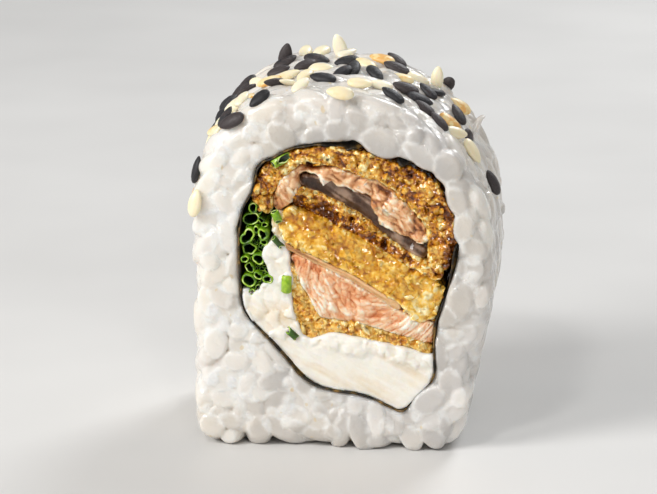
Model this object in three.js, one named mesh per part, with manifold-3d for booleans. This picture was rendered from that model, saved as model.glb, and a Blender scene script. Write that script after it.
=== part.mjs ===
// One slice of an inside-out sushi roll, standing on the flattened side of its rice.
// Millimetres, +Z up. X runs across the cut face, the front cut face looks along -Y,
// and the origin is under the middle of the slice, on the surface it stands on.
import * as THREE from "three";
import { mergeVertices } from "three/addons/utils/BufferGeometryUtils.js";
import Module from "manifold-3d";

const wasm = await Module();
wasm.setup();

// Driving dimensions of the slice
const sliceDepth = 24;          // from cut face to cut face
const faceLeft = -16.2;
const faceRight = 15.5;
const faceTop = 38.35;
const baseRight = 12.2;         // the right wall leans in to here at the foot
const frontY = -sliceDepth / 2;

// Rice, cooked and packed: whole grains lie along the outer wall, cut ones show on the faces
const grainHalfSizes = [3.05, 1.6, 1.4];
const cutGrainHalfSizes = [2.05, 1.6, 1.45];
const coreInset = 1.0;          // how far the solid core lies under the outermost grains
const cutGrainSpacing = 2.8;
const wallGrainSpacing = 3.95;

// Sesame seeds on the crown
const seedHalfSizes = [1.6, 0.97, 0.5];
const seedSpacing = 2.5;
const crownStart = 30.5;        // seeds lie above this height, apart from a few strays

// Thin layers and the gaps between pieces
const noriThickness = 0.36;
const noriHalfDepth = sliceDepth / 2 - 0.35;
const pieceGap = 0.1;           // left free on each side of a joint between two pieces
const chiveWall = 0.2;
const arcSag = 0.11;            // how far a chord of a rounded corner may lie inside its arc
const wallSag = 0.3;            // the same on the outer wall, where grains hide it

const white = { color: 0xe9e7e0, roughness: 0.3 };
const noriDark = { color: 0x1f1d14, roughness: 0.55 };
const crustBrown = { color: 0xb06f22, roughness: 0.4 };
const crustGold = { color: 0xd9a44a, roughness: 0.4 };
const crustPale = { color: 0xcf9a55, roughness: 0.45 };
const salmonPink = { color: 0xe8b89a, roughness: 0.4 };
const skinGrey = { color: 0x7b6a5c, roughness: 0.35 };
const skinTan = { color: 0xa8743f, roughness: 0.35 };
const cheeseWhite = { color: 0xf3eee0, roughness: 0.35 };
const chiveGreen = { color: 0x4c8a22, roughness: 0.4 };

// The outlines below are drawn about the middle of the seaweed roll, which sits a little to the
// right of the middle of the whole slice, and the group puts the slice's own middle over the origin
const rollCentreShift = 0.4;
const roll = new THREE.Group();
roll.position.x = rollCentreShift;

// Repeatable random numbers between 0 and 1
function randomSource(seed) {
  let state = seed;
  return () => {
    state = (state + 0x6d2b79f5) | 0;
    let mixed = Math.imul(state ^ (state >>> 15), state | 1);
    mixed ^= mixed + Math.imul(mixed ^ (mixed >>> 7), mixed | 61);
    return ((mixed ^ (mixed >>> 14)) >>> 0) / 4294967296;
  };
}

// An outline given by its corners, each [x, z, radius], with the corners turned as arcs
function roundedOutline(corners, sag = arcSag) {
  const turns = corners.map(([x, z, radius], index) => {
    const corner = new THREE.Vector2(x, z);
    const before = new THREE.Vector2(...corners.at(index - 1)).sub(corner);
    const after = new THREE.Vector2(...corners[(index + 1) % corners.length]).sub(corner);
    const lengths = [before.length(), after.length()];
    before.normalize();
    after.normalize();
    const opening = Math.acos(THREE.MathUtils.clamp(before.dot(after), -1, 1));
    return { corner, before, after, lengths, opening, reach: radius / Math.tan(opening / 2) };
  });
  const points = [];
  turns.forEach(({ corner, before, after, lengths, opening, reach }, index) => {
    const reachBefore = turns.at(index - 1).reach;
    const reachAfter = turns[(index + 1) % turns.length].reach;
    const fit = Math.min(1, lengths[0] / (reach + reachBefore), lengths[1] / (reach + reachAfter));
    const radius = reach * fit * Math.tan(opening / 2);
    const bisector = before.clone().add(after).normalize();
    const centre = corner.clone().addScaledVector(bisector, radius / Math.sin(opening / 2));
    const start = corner.clone().addScaledVector(before, reach * fit).sub(centre).angle();
    const end = corner.clone().addScaledVector(after, reach * fit).sub(centre).angle();
    const sweep = Math.atan2(Math.sin(end - start), Math.cos(end - start));
    const widestStep = 2 * Math.acos(1 - Math.min(1, sag / radius));
    const steps = Math.max(1, Math.round(Math.abs(sweep) / widestStep));
    for (let step = 0; step <= steps; step += 1) {
      const angle = start + (sweep * step) / steps;
      points.push(new THREE.Vector2(Math.cos(angle), Math.sin(angle)).multiplyScalar(radius).add(centre));
    }
  });
  const distinct = points.filter((point, index) => point.distanceTo(points.at(index - 1)) > 0.02);
  return THREE.ShapeUtils.area(distinct) < 0 ? distinct.reverse() : distinct;
}

// The same outline moved outwards by a distance, or inwards by a negative one
function offsetOutline(points, distance) {
  return points.map((point, index) => {
    const before = point.clone().sub(points.at(index - 1)).normalize();
    const after = points[(index + 1) % points.length].clone().sub(point).normalize();
    const miter = new THREE.Vector2(before.y + after.y, -before.x - after.x);
    return point.clone().addScaledVector(miter, distance / (1 + before.dot(after)));
  });
}

// A closed mesh, turned and placed, as a solid that can be joined and cut
function solidOf(geometry, placing = new THREE.Matrix4()) {
  geometry.deleteAttribute("normal");
  geometry.deleteAttribute("uv");
  const merged = mergeVertices(geometry, 1e-5).applyMatrix4(placing);
  const vertProperties = new Float32Array(merged.attributes.position.array);
  const triVerts = new Uint32Array(merged.index.array);
  return new wasm.Manifold(new wasm.Mesh({ numProp: 3, vertProperties, triVerts }));
}

// An outline in X and Z carried along Y
function extruded(points, fromY, toY) {
  const geometry = new THREE.ExtrudeGeometry(new THREE.Shape(points), {
    depth: toY - fromY,
    bevelEnabled: false,
  });
  return solidOf(geometry, new THREE.Matrix4().makeRotationX(Math.PI / 2).setPosition(0, toY, 0));
}

// Smooth random heights between -1 and 1 over the X and Z plane
function heightAt(x, z, seed) {
  const cornerHeight = (column, row) => {
    const wave = Math.sin(column * 127.1 + row * 311.7 + seed * 74.7) * 43758.5453;
    return 2 * (wave - Math.floor(wave)) - 1;
  };
  const column = Math.floor(x);
  const row = Math.floor(z);
  const across = THREE.MathUtils.smoothstep(x - column, 0, 1);
  const up = THREE.MathUtils.smoothstep(z - row, 0, 1);
  const low = THREE.MathUtils.lerp(cornerHeight(column, row), cornerHeight(column + 1, row), across);
  const high = THREE.MathUtils.lerp(cornerHeight(column, row + 1), cornerHeight(column + 1, row + 1), across);
  return THREE.MathUtils.lerp(low, high, up);
}

// A block round an outline whose two cut faces have relief of the given height and grain
function reliefBlock(points, { recess, height, grain, cell }, seed) {
  const box = new THREE.Box2().setFromPoints(points).expandByScalar(0.5);
  const size = box.getSize(new THREE.Vector2());
  const middle = box.getCenter(new THREE.Vector2());
  const halfDepth = sliceDepth / 2 - recess;
  const columns = Math.ceil(size.x / cell);
  const rows = Math.ceil(size.y / cell);
  const block = new THREE.BoxGeometry(size.x, 2 * halfDepth, size.y, columns, 1, rows);
  block.translate(middle.x, 0, middle.y);
  const place = block.attributes.position;
  for (let index = 0; index < place.count; index += 1) {
    const side = Math.sign(place.getY(index));
    const bump = heightAt(place.getX(index) / grain, place.getZ(index) / grain, seed + side);
    place.setY(index, side * (halfDepth + height * bump));
  }
  return solidOf(block);
}

// The biggest body of a solid: loose scraps and sealed hollows are dropped
function biggestBody(solid) {
  return solid.decompose().reduce((best, body) => (body.volume() > best.volume() ? body : best));
}

function addPiece(name, solid, finish) {
  const mesh = biggestBody(solid).getMesh();
  const geometry = new THREE.BufferGeometry();
  geometry.setAttribute("position", new THREE.BufferAttribute(mesh.vertProperties, 3));
  geometry.setIndex(new THREE.BufferAttribute(mesh.triVerts, 1));
  const piece = new THREE.Mesh(geometry, new THREE.MeshStandardMaterial({ ...finish, metalness: 0 }));
  piece.name = name;
  roll.add(piece);
}

// Outer outline of the slice: a flat foot, a leaning right wall and a round crown
const faceOutline = roundedOutline([
  [faceLeft, 0, 2.5],
  [baseRight, 0, 3.5],
  [faceRight, 17, 20],
  [faceRight - 0.2, faceTop, 17],
  [faceLeft, faceTop, 11.5],
], wallSag);

// Outline of the seaweed sheet that is rolled round the fillings
const noriOutline = roundedOutline([
  [-11.1, 14.9, 4],
  [-3.2, 6.4, 1.5],
  [1.6, 6.1, 5],
  [6.0, 4.1, 0.7],
  [9.5, 8.0, 1.5],
  [9.3, 13.0, 8],
  [12.3, 23.0, 9],
  [9.8, 30.2, 4],
  [-2.6, 34.6, 15],
  [-9.9, 30.4, 4],
  [-11.3, 24.0, 4],
]);
const insideNori = extruded(offsetOutline(noriOutline, -noriThickness - pieceGap), -sliceDepth, sliceDepth);

// Rice and sesame

// A plump grain with blunt ends and a cut end of one, both with their long side along X
const grainProfile = [[0, -1], [0.92, -0.6], [0.92, 0.6], [0, 1]].map(([x, y]) => new THREE.Vector2(x, y));
const grainShape = new THREE.LatheGeometry(grainProfile, 5).rotateZ(Math.PI / 2);
const cutGrainShape = new THREE.IcosahedronGeometry(1, 0);
const seedShape = new THREE.SphereGeometry(1, 5, 3).rotateZ(Math.PI / 2);

function grain(shape, halfSizes, scale, turn, place) {
  const sizes = new THREE.Vector3(...halfSizes).multiplyScalar(scale);
  return solidOf(shape.clone(), new THREE.Matrix4().compose(place, turn, sizes));
}

// A turn that takes the long side along one direction and the thickness as near as it can to another
function turnTo(long, thick) {
  const width = new THREE.Vector3().crossVectors(thick, long).normalize();
  const thickness = new THREE.Vector3().crossVectors(long, width).normalize();
  return new THREE.Quaternion().setFromRotationMatrix(new THREE.Matrix4().makeBasis(long, width, thickness));
}

function insideOutline(points, x, z) {
  let inside = false;
  points.forEach((point, index) => {
    const last = points.at(index - 1);
    if (point.y > z !== last.y > z && x < ((last.x - point.x) * (z - point.y)) / (last.y - point.y) + point.x) {
      inside = !inside;
    }
  });
  return inside;
}

// Places kept at least a spacing apart, drawn at random
function spreadPlaces(draw, spacing, tries) {
  const kept = [];
  for (let attempt = 0; attempt < tries; attempt += 1) {
    const place = draw();
    if (place && kept.every((other) => Math.hypot(other.u - place.u, other.v - place.v) > spacing)) {
      kept.push(place);
    }
  }
  return kept;
}

// Grains that show on a cut face, in the ring of rice round the seaweed
function cutFaceGrains(side) {
  const random = randomSource(side > 0 ? 31 : 17);
  const outer = offsetOutline(faceOutline, -1.2);
  const inner = offsetOutline(noriOutline, 1.1);
  const places = spreadPlaces(() => {
    const u = THREE.MathUtils.lerp(faceLeft, faceRight, random());
    const v = THREE.MathUtils.lerp(0, faceTop, random());
    return insideOutline(outer, u, v) && !insideOutline(inner, u, v) ? { u, v } : null;
  }, cutGrainSpacing, 6000);
  return places.map(({ u, v }) => {
    const heading = random() * Math.PI;
    const long = new THREE.Vector3(Math.cos(heading), 0.5 * (random() - 0.5), Math.sin(heading)).normalize();
    const scale = 0.86 + 0.3 * random();
    const depth = sliceDepth / 2 + 0.3 * random() - 0.1 - cutGrainHalfSizes[2] * scale;
    const turn = turnTo(long, new THREE.Vector3(0, 1, 0));
    return grain(cutGrainShape, cutGrainHalfSizes, scale, turn, new THREE.Vector3(u, side * depth, v));
  });
}

// The outer wall as a path: a place and an outward direction for each distance along it
function wallPath() {
  const path = new THREE.CurvePath();
  faceOutline.forEach((point, index) => {
    path.add(new THREE.LineCurve(point, faceOutline[(index + 1) % faceOutline.length]));
  });
  const whole = path.getLength();
  return {
    whole,
    at(distance) {
      const t = (distance / whole + 1) % 1;
      const point = path.getPointAt(t);
      const ahead = path.getPointAt((t + 0.01) % 1).sub(path.getPointAt((t + 0.99) % 1)).normalize();
      return { point, out: new THREE.Vector3(ahead.y, 0, -ahead.x), along: new THREE.Vector3(ahead.x, 0, ahead.y) };
    },
  };
}

// A turn for something that lies on the wall, at a heading from the way round
function lyingTurn({ out, along }, heading, lean) {
  const long = along.clone().multiplyScalar(Math.cos(heading));
  long.add(new THREE.Vector3(0, Math.sin(heading), 0)).addScaledVector(out, lean).normalize();
  return turnTo(long, out);
}

// Whole grains along the outer wall
function wallGrains(wall) {
  const random = randomSource(5);
  const [halfLength, halfWidth, halfThickness] = grainHalfSizes;
  const places = spreadPlaces(() => {
    const u = random() * wall.whole;
    const v = (random() - 0.5) * (sliceDepth - 2 * halfWidth);
    return wall.at(u).point.y > 0.9 ? { u, v } : null;
  }, wallGrainSpacing, 6000);
  return places.map(({ u, v }) => {
    const spot = wall.at(u);
    const heading = random() * Math.PI;
    const scale = 0.9 + 0.2 * random();
    const sink = halfThickness * scale - 0.35 * random();
    const room = sliceDepth / 2 - THREE.MathUtils.lerp(halfWidth, halfLength, Math.sin(heading)) * scale;
    const y = THREE.MathUtils.clamp(v, -room, room);
    const place = new THREE.Vector3(spot.point.x, y, spot.point.y).addScaledVector(spot.out, -sink);
    return grain(grainShape, grainHalfSizes, scale, lyingTurn(spot, heading, 0), place);
  });
}

// Sesame seeds strewn over the crown, with a few strays lower down
function crownSeeds(wall) {
  const random = randomSource(11);
  const places = spreadPlaces(() => {
    const u = random() * wall.whole;
    const v = (random() - 0.5) * (sliceDepth - 2.2);
    const height = wall.at(u).point.y;
    const stray = height > 14 && random() < 0.02;
    return height > crownStart + 1.5 * random() || stray ? { u, v } : null;
  }, seedSpacing, 1500);
  return places.map(({ u, v }) => {
    const spot = wall.at(u);
    const place = new THREE.Vector3(spot.point.x, v, spot.point.y).addScaledVector(spot.out, 0.1);
    const turn = lyingTurn(spot, random() * Math.PI, 0.3 * (random() - 0.5));
    return grain(seedShape, seedHalfSizes, 1, turn, place);
  });
}

// Three seeds that stand on end near the back of the crown: how far round the wall they are, as
// the X they stand over, their depth, and their lean sideways
const standingSeeds = [
  { x: -2.4, y: 8.6, lean: -0.3 },
  { x: -8.6, y: 7.0, lean: 0.2 },
  { x: 7.9, y: 7.5, lean: 0.1 },
];

function standingSeedSolids(wall) {
  return standingSeeds.map(({ x, y, lean }) => {
    let distance = 0;
    while (wall.at(distance).point.y < faceTop / 2 || wall.at(distance).point.x > x) {
      distance += 0.25;
    }
    const spot = wall.at(distance);
    const long = new THREE.Vector3(lean, 0, 1).normalize();
    const place = new THREE.Vector3(spot.point.x, y, spot.point.y).addScaledVector(long, seedHalfSizes[0] * 0.55);
    return grain(seedShape, seedHalfSizes, 1, turnTo(long, new THREE.Vector3(0, 1, 0)), place);
  });
}

function riceSolid() {
  const coreOutline = offsetOutline(faceOutline, -coreInset);
  const footHalfDepth = sliceDepth / 2 - 2;
  const foot = [
    [faceLeft + 2.4, 0],
    [baseRight - 2.4, 0],
    [baseRight - 2.4, 3],
    [faceLeft + 2.4, 3],
  ].map(([x, z]) => new THREE.Vector2(x, z));
  let rice = extruded(coreOutline, frontY + coreInset, -frontY - coreInset);
  rice = rice.add(extruded(foot, -footHalfDepth, footHalfDepth));
  const wall = wallPath();
  const seeds = [...crownSeeds(wall), ...standingSeedSolids(wall)];
  [...cutFaceGrains(-1), ...cutFaceGrains(1), ...wallGrains(wall), ...seeds].forEach((one) => {
    rice = rice.add(one);
  });
  const below = new THREE.BoxGeometry(60, 60, 20);
  below.translate(0, 0, -10);
  const hole = extruded(offsetOutline(noriOutline, pieceGap), -sliceDepth, sliceDepth);
  return rice.subtract(solidOf(below)).subtract(hole);
}

// Seaweed: one thin sheet all the way round, doubled at the lower left where its ends lap
const lapCorners = [[-8.6, 12.5], [-9.8, 9.5], [-4.5, 5.0], [-2.4, 7.0]];

// The lap as a strip this far in from the outline, grown by a gap when it is used to cut others
function noriLap(grow) {
  const zone = offsetOutline(lapCorners.map(([x, z]) => new THREE.Vector2(x, z)), grow);
  const inner = extruded(offsetOutline(noriOutline, -2 * noriThickness - grow), -sliceDepth, sliceDepth);
  return extruded(zone, -noriHalfDepth - grow, noriHalfDepth + grow).subtract(inner);
}

function noriSolid() {
  const outer = extruded(noriOutline, -noriHalfDepth, noriHalfDepth);
  const ring = outer.subtract(extruded(offsetOutline(noriOutline, -noriThickness), -sliceDepth, sliceDepth));
  return ring.add(noriLap(0).intersect(outer));
}

// Chives: hollow leaves side by side along the roll, each [x, z, radius]
const chiveLeaves = [
  [-9.7, 25.9, 0.5],
  [-9.9, 24.7, 0.75],
  [-10.2, 22.95, 0.75],
  [-10.1, 21.5, 0.7],
  [-8.5, 24.1, 0.3],
  [-8.6, 23.2, 0.55],
  [-9.3, 23.7, 0.33],
  [-8.5, 22.3, 0.33],
  [-10.5, 20.5, 0.38],
  [-9.1, 20.5, 0.6],
  [-10.05, 19.5, 0.5],
  [-10.1, 18.2, 0.7],
  [-9.15, 18.75, 0.4],
  [-8.1, 18.4, 0.5],
  [-9.8, 16.9, 0.33],
  [-9.2, 17.3, 0.36],
];

function circleOutline(x, z, radius) {
  const sides = radius < 0.65 ? 6 : 8;
  return Array.from({ length: sides }, (_, step) => {
    const angle = (2 * Math.PI * step) / sides;
    return new THREE.Vector2(x + radius * Math.cos(angle), z + radius * Math.sin(angle));
  });
}

function chiveBundle(grow) {
  const leafEnd = sliceDepth / 2 - 0.6;
  const bedEnd = sliceDepth / 2 - 2.6;
  const bed = roundedOutline([
    [-9.6, 16.9, 0.3],
    [-8.0, 18.2, 0.3],
    [-8.6, 20.9, 0.5],
    [-8.3, 22.0, 0.3],
    [-8.2, 24.4, 0.3],
    [-9.5, 26.1, 0.3],
    [-10.4, 24.6, 0.3],
    [-10.4, 18.0, 0.3],
  ]);
  let bundle = extruded(offsetOutline(bed, grow), -bedEnd, bedEnd);
  chiveLeaves.forEach(([x, z, radius]) => {
    bundle = bundle.add(extruded(circleOutline(x, z, radius + 0.04 + grow), -leafEnd, leafEnd));
  });
  return bundle;
}

function chivesSolid() {
  let bundle = chiveBundle(0);
  chiveLeaves.filter(([, , radius]) => radius > 2 * chiveWall).forEach(([x, z, radius]) => {
    bundle = bundle.subtract(extruded(circleOutline(x, z, radius - chiveWall), -sliceDepth, sliceDepth));
  });
  return bundle.intersect(insideNori);
}

// Short cut lengths of chive pressed into the front face, each from one end to the other in X and Z
const chiveBits = {
  chive_bit_top: { from: [-7.7, 30.75], to: [-5.7, 31.95], radius: 0.5, y: frontY + 0.1 },
  chive_bit_corner: { from: [-7.4, 25.7], to: [-6.95, 24.6], radius: 0.42, y: frontY + 0.1 },
  chive_bit_dark: { from: [-7.5, 22.9], to: [-6.6, 21.9], radius: 0.32, y: frontY + 0.1 },
  chive_bit_middle: { from: [-6.15, 18.9], to: [-6.2, 17.0], radius: 0.58, y: frontY + 0.2 },
  chive_bit_low: { from: [-6.05, 13.0], to: [-5.05, 12.1], radius: 0.36, y: frontY + 0.1 },
};

function rodBetween({ from, to, radius, y }, grow, overrun = grow) {
  const start = new THREE.Vector3(from[0], y, from[1]);
  const end = new THREE.Vector3(to[0], y, to[1]);
  const length = start.distanceTo(end) + 2 * overrun;
  const rod = new THREE.CylinderGeometry(radius + grow, radius + grow, length, 7);
  const direction = end.clone().sub(start).normalize();
  const turn = new THREE.Quaternion().setFromUnitVectors(new THREE.Vector3(0, 1, 0), direction);
  const middle = start.clone().add(end).multiplyScalar(0.5);
  return solidOf(rod, new THREE.Matrix4().compose(middle, turn, new THREE.Vector3(1, 1, 1)));
}

// Fillings, each an outline carried right through the slice with relief on its two cut faces

const crags = { recess: 0.15, height: 0.55, grain: 1.8, cell: 2.2 };
const flakes = { recess: 0.5, height: 0.3, grain: 1.9, cell: 2.3 };
const smears = { recess: 0.3, height: 0.35, grain: 3.0, cell: 3.4 };
const sunk = { recess: 2.2, height: 0.2, grain: 2.0, cell: 3.0 };

const fillings = {
  cream_cheese: {
    finish: cheeseWhite,
    relief: smears,
    corners: [
      [-9.3, 21.2, 0.5], [-6.9, 22.5, 0.3], [-6.2, 19.6, 0.5], [-5.6, 15.0, 2], [-4.3, 11.6, 0.8],
      [-1.4, 12.7, 1], [6.0, 11.3, 1], [9.2, 10.4, 0.3], [9.2, 8.1, 0.5], [6.0, 4.9, 0.5],
      [1.5, 6.9, 4], [-3.0, 6.9, 1], [-10.9, 15.3, 6], [-10.9, 16.9, 0.3], [-7.6, 18.2, 0.8],
      [-8.2, 20.2, 0.8],
    ],
  },
  upper_crust: {
    finish: crustBrown,
    relief: crags,
    corners: [
      [-8.1, 25.0, 0.3], [-10.2, 27.2, 1], [-8.6, 30.4, 2], [-2.6, 33.6, 8], [8.9, 29.6, 3],
      [11.6, 24.5, 3], [10.0, 19.8, 0.5], [8.6, 22.0, 0.6], [8.3, 24.6, 2], [4.0, 28.9, 3],
      [-0.4, 30.2, 2], [-4.6, 31.4, 1], [-6.3, 28.6, 2],
    ],
  },
  upper_salmon: {
    finish: salmonPink,
    relief: flakes,
    corners: [
      [-7.9, 25.0, 0.3], [-6.2, 28.9, 1], [-5.2, 30.9, 0.4], [-0.4, 30.1, 2], [4.0, 28.8, 3],
      [8.3, 24.4, 2], [8.6, 22.2, 0.4], [5.8, 23.5, 0.8], [3.7, 24.3, 0.3], [2.4, 27.4, 0.8],
      [-1.4, 29.0, 0.6], [-4.7, 29.7, 0.3], [-5.3, 27.4, 0.6],
    ],
  },
  upper_skin: {
    finish: skinGrey,
    relief: sunk,
    corners: [
      [-5.0, 29.4, 0.3], [-1.4, 28.9, 0.6], [2.8, 26.9, 0.6], [4.4, 24.2, 0.6], [8.2, 22.0, 0.4],
      [7.8, 20.8, 0.3], [4.6, 22.7, 1], [1.6, 25.4, 1], [-1.6, 27.1, 1], [-4.7, 28.2, 0.3],
    ],
  },
  middle_crust: {
    finish: crustBrown,
    relief: crags,
    corners: [
      [-6.5, 26.5, 0.4], [-4.7, 28.2, 0.3], [-1.6, 27.1, 1], [1.6, 25.4, 1], [4.6, 22.7, 1],
      [7.4, 21.0, 0.6], [9.9, 20.2, 0.3], [9.6, 18.8, 0.3], [6.0, 20.4, 1], [1.5, 22.9, 2],
      [-4.3, 25.7, 1],
    ],
  },
  lower_crust_top: {
    finish: crustGold,
    relief: crags,
    corners: [
      [-7.2, 24.8, 0.6], [-6.0, 26.1, 0.5], [-4.3, 25.7, 1], [1.5, 22.9, 2], [6.0, 20.4, 1],
      [9.6, 18.8, 0.3], [10.0, 17.0, 0.5], [9.3, 14.6, 0.3], [7.6, 13.9, 0.3], [5.2, 16.3, 0.3],
      [0.5, 19.1, 3], [-6.6, 22.4, 0.5],
    ],
  },
  lower_skin: {
    finish: skinTan,
    relief: { recess: 0.5, height: 0.1, grain: 2, cell: 3 },
    corners: [
      [-6.6, 22.4, 0], [0.5, 19.1, 3], [5.2, 16.3, 0.3], [5.6, 15.3, 0], [0.4, 18.5, 3],
      [-6.4, 21.7, 0],
    ],
  },
  lower_salmon: {
    finish: salmonPink,
    relief: flakes,
    corners: [
      [-6.1, 21.5, 0.3], [0.4, 18.4, 3], [5.6, 15.2, 0.3], [9.2, 13.9, 0.4], [9.0, 11.8, 0.3],
      [5.5, 12.8, 0.6], [1.5, 13.9, 1], [-2.4, 14.4, 0.4], [-4.6, 17.8, 1], [-5.4, 20.1, 0.4],
    ],
  },
  lower_crust_base: {
    finish: crustPale,
    relief: crags,
    corners: [
      [-6.2, 20.0, 0.3], [-5.4, 20.1, 0.4], [-4.6, 17.8, 1], [-2.4, 14.4, 0.4], [1.5, 13.9, 1],
      [5.5, 12.8, 0.6], [9.1, 11.7, 0.3], [9.1, 10.5, 0.3], [6.0, 11.4, 0.6], [-1.4, 12.8, 1],
      [-4.2, 11.6, 0.4], [-5.5, 15.0, 2],
    ],
  },
};

function fillingSolid({ corners, relief }, seed, cutAway) {
  const outline = offsetOutline(roundedOutline(corners), -pieceGap);
  const body = extruded(outline, -sliceDepth, sliceDepth).intersect(reliefBlock(outline, relief, seed));
  return cutAway.reduce((left, tool) => left.subtract(tool), body.intersect(insideNori));
}

// What each filling has to leave free: the lap, the chives and the fillings placed before it
const roomForBits = Object.values(chiveBits).map((bit) => rodBetween(bit, pieceGap));
const roomTaken = [noriLap(pieceGap), chiveBundle(pieceGap), ...roomForBits];

addPiece("rice", riceSolid(), white);
addPiece("nori", noriSolid(), noriDark);
addPiece("chives", chivesSolid(), chiveGreen);
Object.entries(chiveBits).forEach(([name, bit]) => {
  const bore = rodBetween(bit, -chiveWall, 1);
  addPiece(name, rodBetween(bit, 0).subtract(bore).intersect(insideNori), chiveGreen);
});
Object.entries(fillings).forEach(([name, filling], index) => {
  addPiece(name, fillingSolid(filling, index * 7 + 3, roomTaken), filling.finish);
  roomTaken.push(extruded(roundedOutline(filling.corners), -sliceDepth, sliceDepth));
});

export default roll;
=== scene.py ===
# One upright slice of an inside-out salmon roll, dressed round its CAD frame.
# Lengths in the dictionaries are millimetres, and X and Z there are measured from the roll's own
# middle, which lies a little to the right of the slice's middle.
import math
import random
import time

import bmesh
import bpy
import numpy as np
from mathutils import Matrix, Vector, bvhtree, geometry, kdtree


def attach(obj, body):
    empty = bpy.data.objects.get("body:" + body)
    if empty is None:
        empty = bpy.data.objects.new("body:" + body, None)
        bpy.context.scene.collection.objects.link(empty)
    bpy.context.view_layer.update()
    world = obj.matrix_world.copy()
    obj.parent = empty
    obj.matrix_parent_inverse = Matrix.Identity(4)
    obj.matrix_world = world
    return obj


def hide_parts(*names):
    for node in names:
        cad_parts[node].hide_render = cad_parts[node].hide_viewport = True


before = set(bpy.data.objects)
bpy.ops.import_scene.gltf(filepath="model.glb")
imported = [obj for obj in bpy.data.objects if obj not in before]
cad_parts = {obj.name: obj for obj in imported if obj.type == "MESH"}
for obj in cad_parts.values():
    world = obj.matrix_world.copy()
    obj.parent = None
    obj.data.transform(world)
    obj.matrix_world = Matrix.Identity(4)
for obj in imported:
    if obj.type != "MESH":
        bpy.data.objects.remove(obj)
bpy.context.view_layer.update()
startTime = time.time()
mm = 0.001
rollShift = 0.4
halfDepth = 12.0


def report(stage):
    print(f"[{time.time() - startTime:5.1f} s] {stage}")


# Camera at the photograph's place

photo = {
    "width": 657,
    "height": 494,
    "azimuth": 6,           # degrees towards the right flank
    "elevation": 15,
    "lens": 176.99,
    "sensor": 36,
    "place": (0.03242326, -0.33329698, 0.10863879),
}


def lookBack():
    turn, lift = math.radians(photo["azimuth"]), math.radians(photo["elevation"])
    return Vector((math.sin(turn) * math.cos(lift), -math.cos(turn) * math.cos(lift), math.sin(lift)))


def makeCamera():
    lens = bpy.data.cameras.new("camera")
    lens.lens = photo["lens"]
    lens.sensor_width = photo["sensor"]
    camera = bpy.data.objects.new("camera", lens)
    bpy.context.scene.collection.objects.link(camera)
    camera.location = photo["place"]
    camera.rotation_mode = "QUATERNION"
    camera.rotation_quaternion = lookBack().to_track_quat("Z", "Y")
    bpy.context.scene.camera = camera
    return camera


camera = makeCamera()


def rayThrough(pixelX, pixelY):
    perPixel = photo["sensor"] / photo["lens"] / photo["width"]
    across = (pixelX - photo["width"] / 2) * perPixel
    up = (photo["height"] / 2 - pixelY) * perPixel
    turn = camera.rotation_quaternion
    return Vector(photo["place"]), (turn @ Vector((across, up, -1))).normalized()


# Meshes and their attributes

def linked(name, data):
    made = bpy.data.objects.new(name, data)
    bpy.context.scene.collection.objects.link(made)
    return made


def newObject(name, vertices, faces):
    mesh = bpy.data.meshes.new(name)
    mesh.from_pydata((np.asarray(vertices, float) * mm).tolist(), [], faces)
    mesh.validate()
    mesh.shade_smooth()
    return linked(name, mesh)


# An object with the shape that a bmesh holds. The bmesh is freed.
def fromShape(name, shape):
    mesh = bpy.data.meshes.new(name)
    shape.to_mesh(mesh)
    shape.free()
    return linked(name, mesh)


def discard(*objects):
    for unwanted in objects:
        mesh = unwanted.data
        bpy.data.objects.remove(unwanted)
        if mesh.users == 0:
            bpy.data.meshes.remove(mesh)


def setAttribute(mesh, name, values):
    layer = mesh.attributes.get(name) or mesh.attributes.new(name, "FLOAT", "POINT")
    layer.data.foreach_set("value", np.asarray(values, np.float32))


def getAttribute(mesh, name):
    values = np.zeros(len(mesh.vertices), np.float32)
    mesh.attributes[name].data.foreach_get("value", values)
    return values


def places(mesh):
    flat = np.zeros(len(mesh.vertices) * 3, np.float32)
    mesh.vertices.foreach_get("co", flat)
    return flat.reshape(-1, 3).astype(float) / mm


def movePlaces(mesh, place):
    mesh.vertices.foreach_set("co", (np.asarray(place) * mm).astype(np.float32).ravel())
    mesh.update()


def normalsOf(mesh):
    flat = np.zeros(len(mesh.vertices) * 3, np.float32)
    mesh.vertex_normals.foreach_get("vector", flat)
    return flat.reshape(-1, 3).astype(float)


# Applies an object's modifiers.
def settle(made):
    graph = bpy.context.evaluated_depsgraph_get()
    old = made.data
    mesh = bpy.data.meshes.new_from_object(made.evaluated_get(graph))
    made.modifiers.clear()
    made.data = mesh
    if old.users == 0:
        bpy.data.meshes.remove(old)
    return made


def joined(name, *objects):
    whole = bmesh.new()
    for one in objects:
        whole.from_mesh(one.data)
    discard(*objects)
    return fromShape(name, whole)


# Gives a finished piece its material and says what it rides on and replaces; its slot name, which would say
# what it is made of, is not used.
def finishPiece(made, material, slotName, *nodes):
    made.data.materials.clear()
    made.data.materials.append(material)
    made.data.polygons.foreach_set("material_index", [0] * len(made.data.polygons))
    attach(made, "root")
    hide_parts(*nodes)
    return made


# Noise over places in millimetres

# Whole numbers for a cell, stirred into one number from 0 to 1.
def cellHash(cell, seed):
    mixed = cell[..., 0] * 374761393 + cell[..., 1] * 668265263 + cell[..., 2] * 1442695041
    mixed = (mixed + seed * 1274126177) & 0xFFFFFFFF
    mixed = ((mixed ^ (mixed >> 13)) * 1103515245) & 0xFFFFFFFF
    mixed = ((mixed ^ (mixed >> 16)) * 2246822519) & 0xFFFFFFFF
    return (mixed ^ (mixed >> 15)) / 0xFFFFFFFF


cellCorners = [np.array((x, y, z)) for x in (0, 1) for y in (0, 1) for z in (0, 1)]
cellsAround = [np.array((x, y, z)) for x in (-1, 0, 1) for y in (-1, 0, 1) for z in (-1, 0, 1)]


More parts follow.
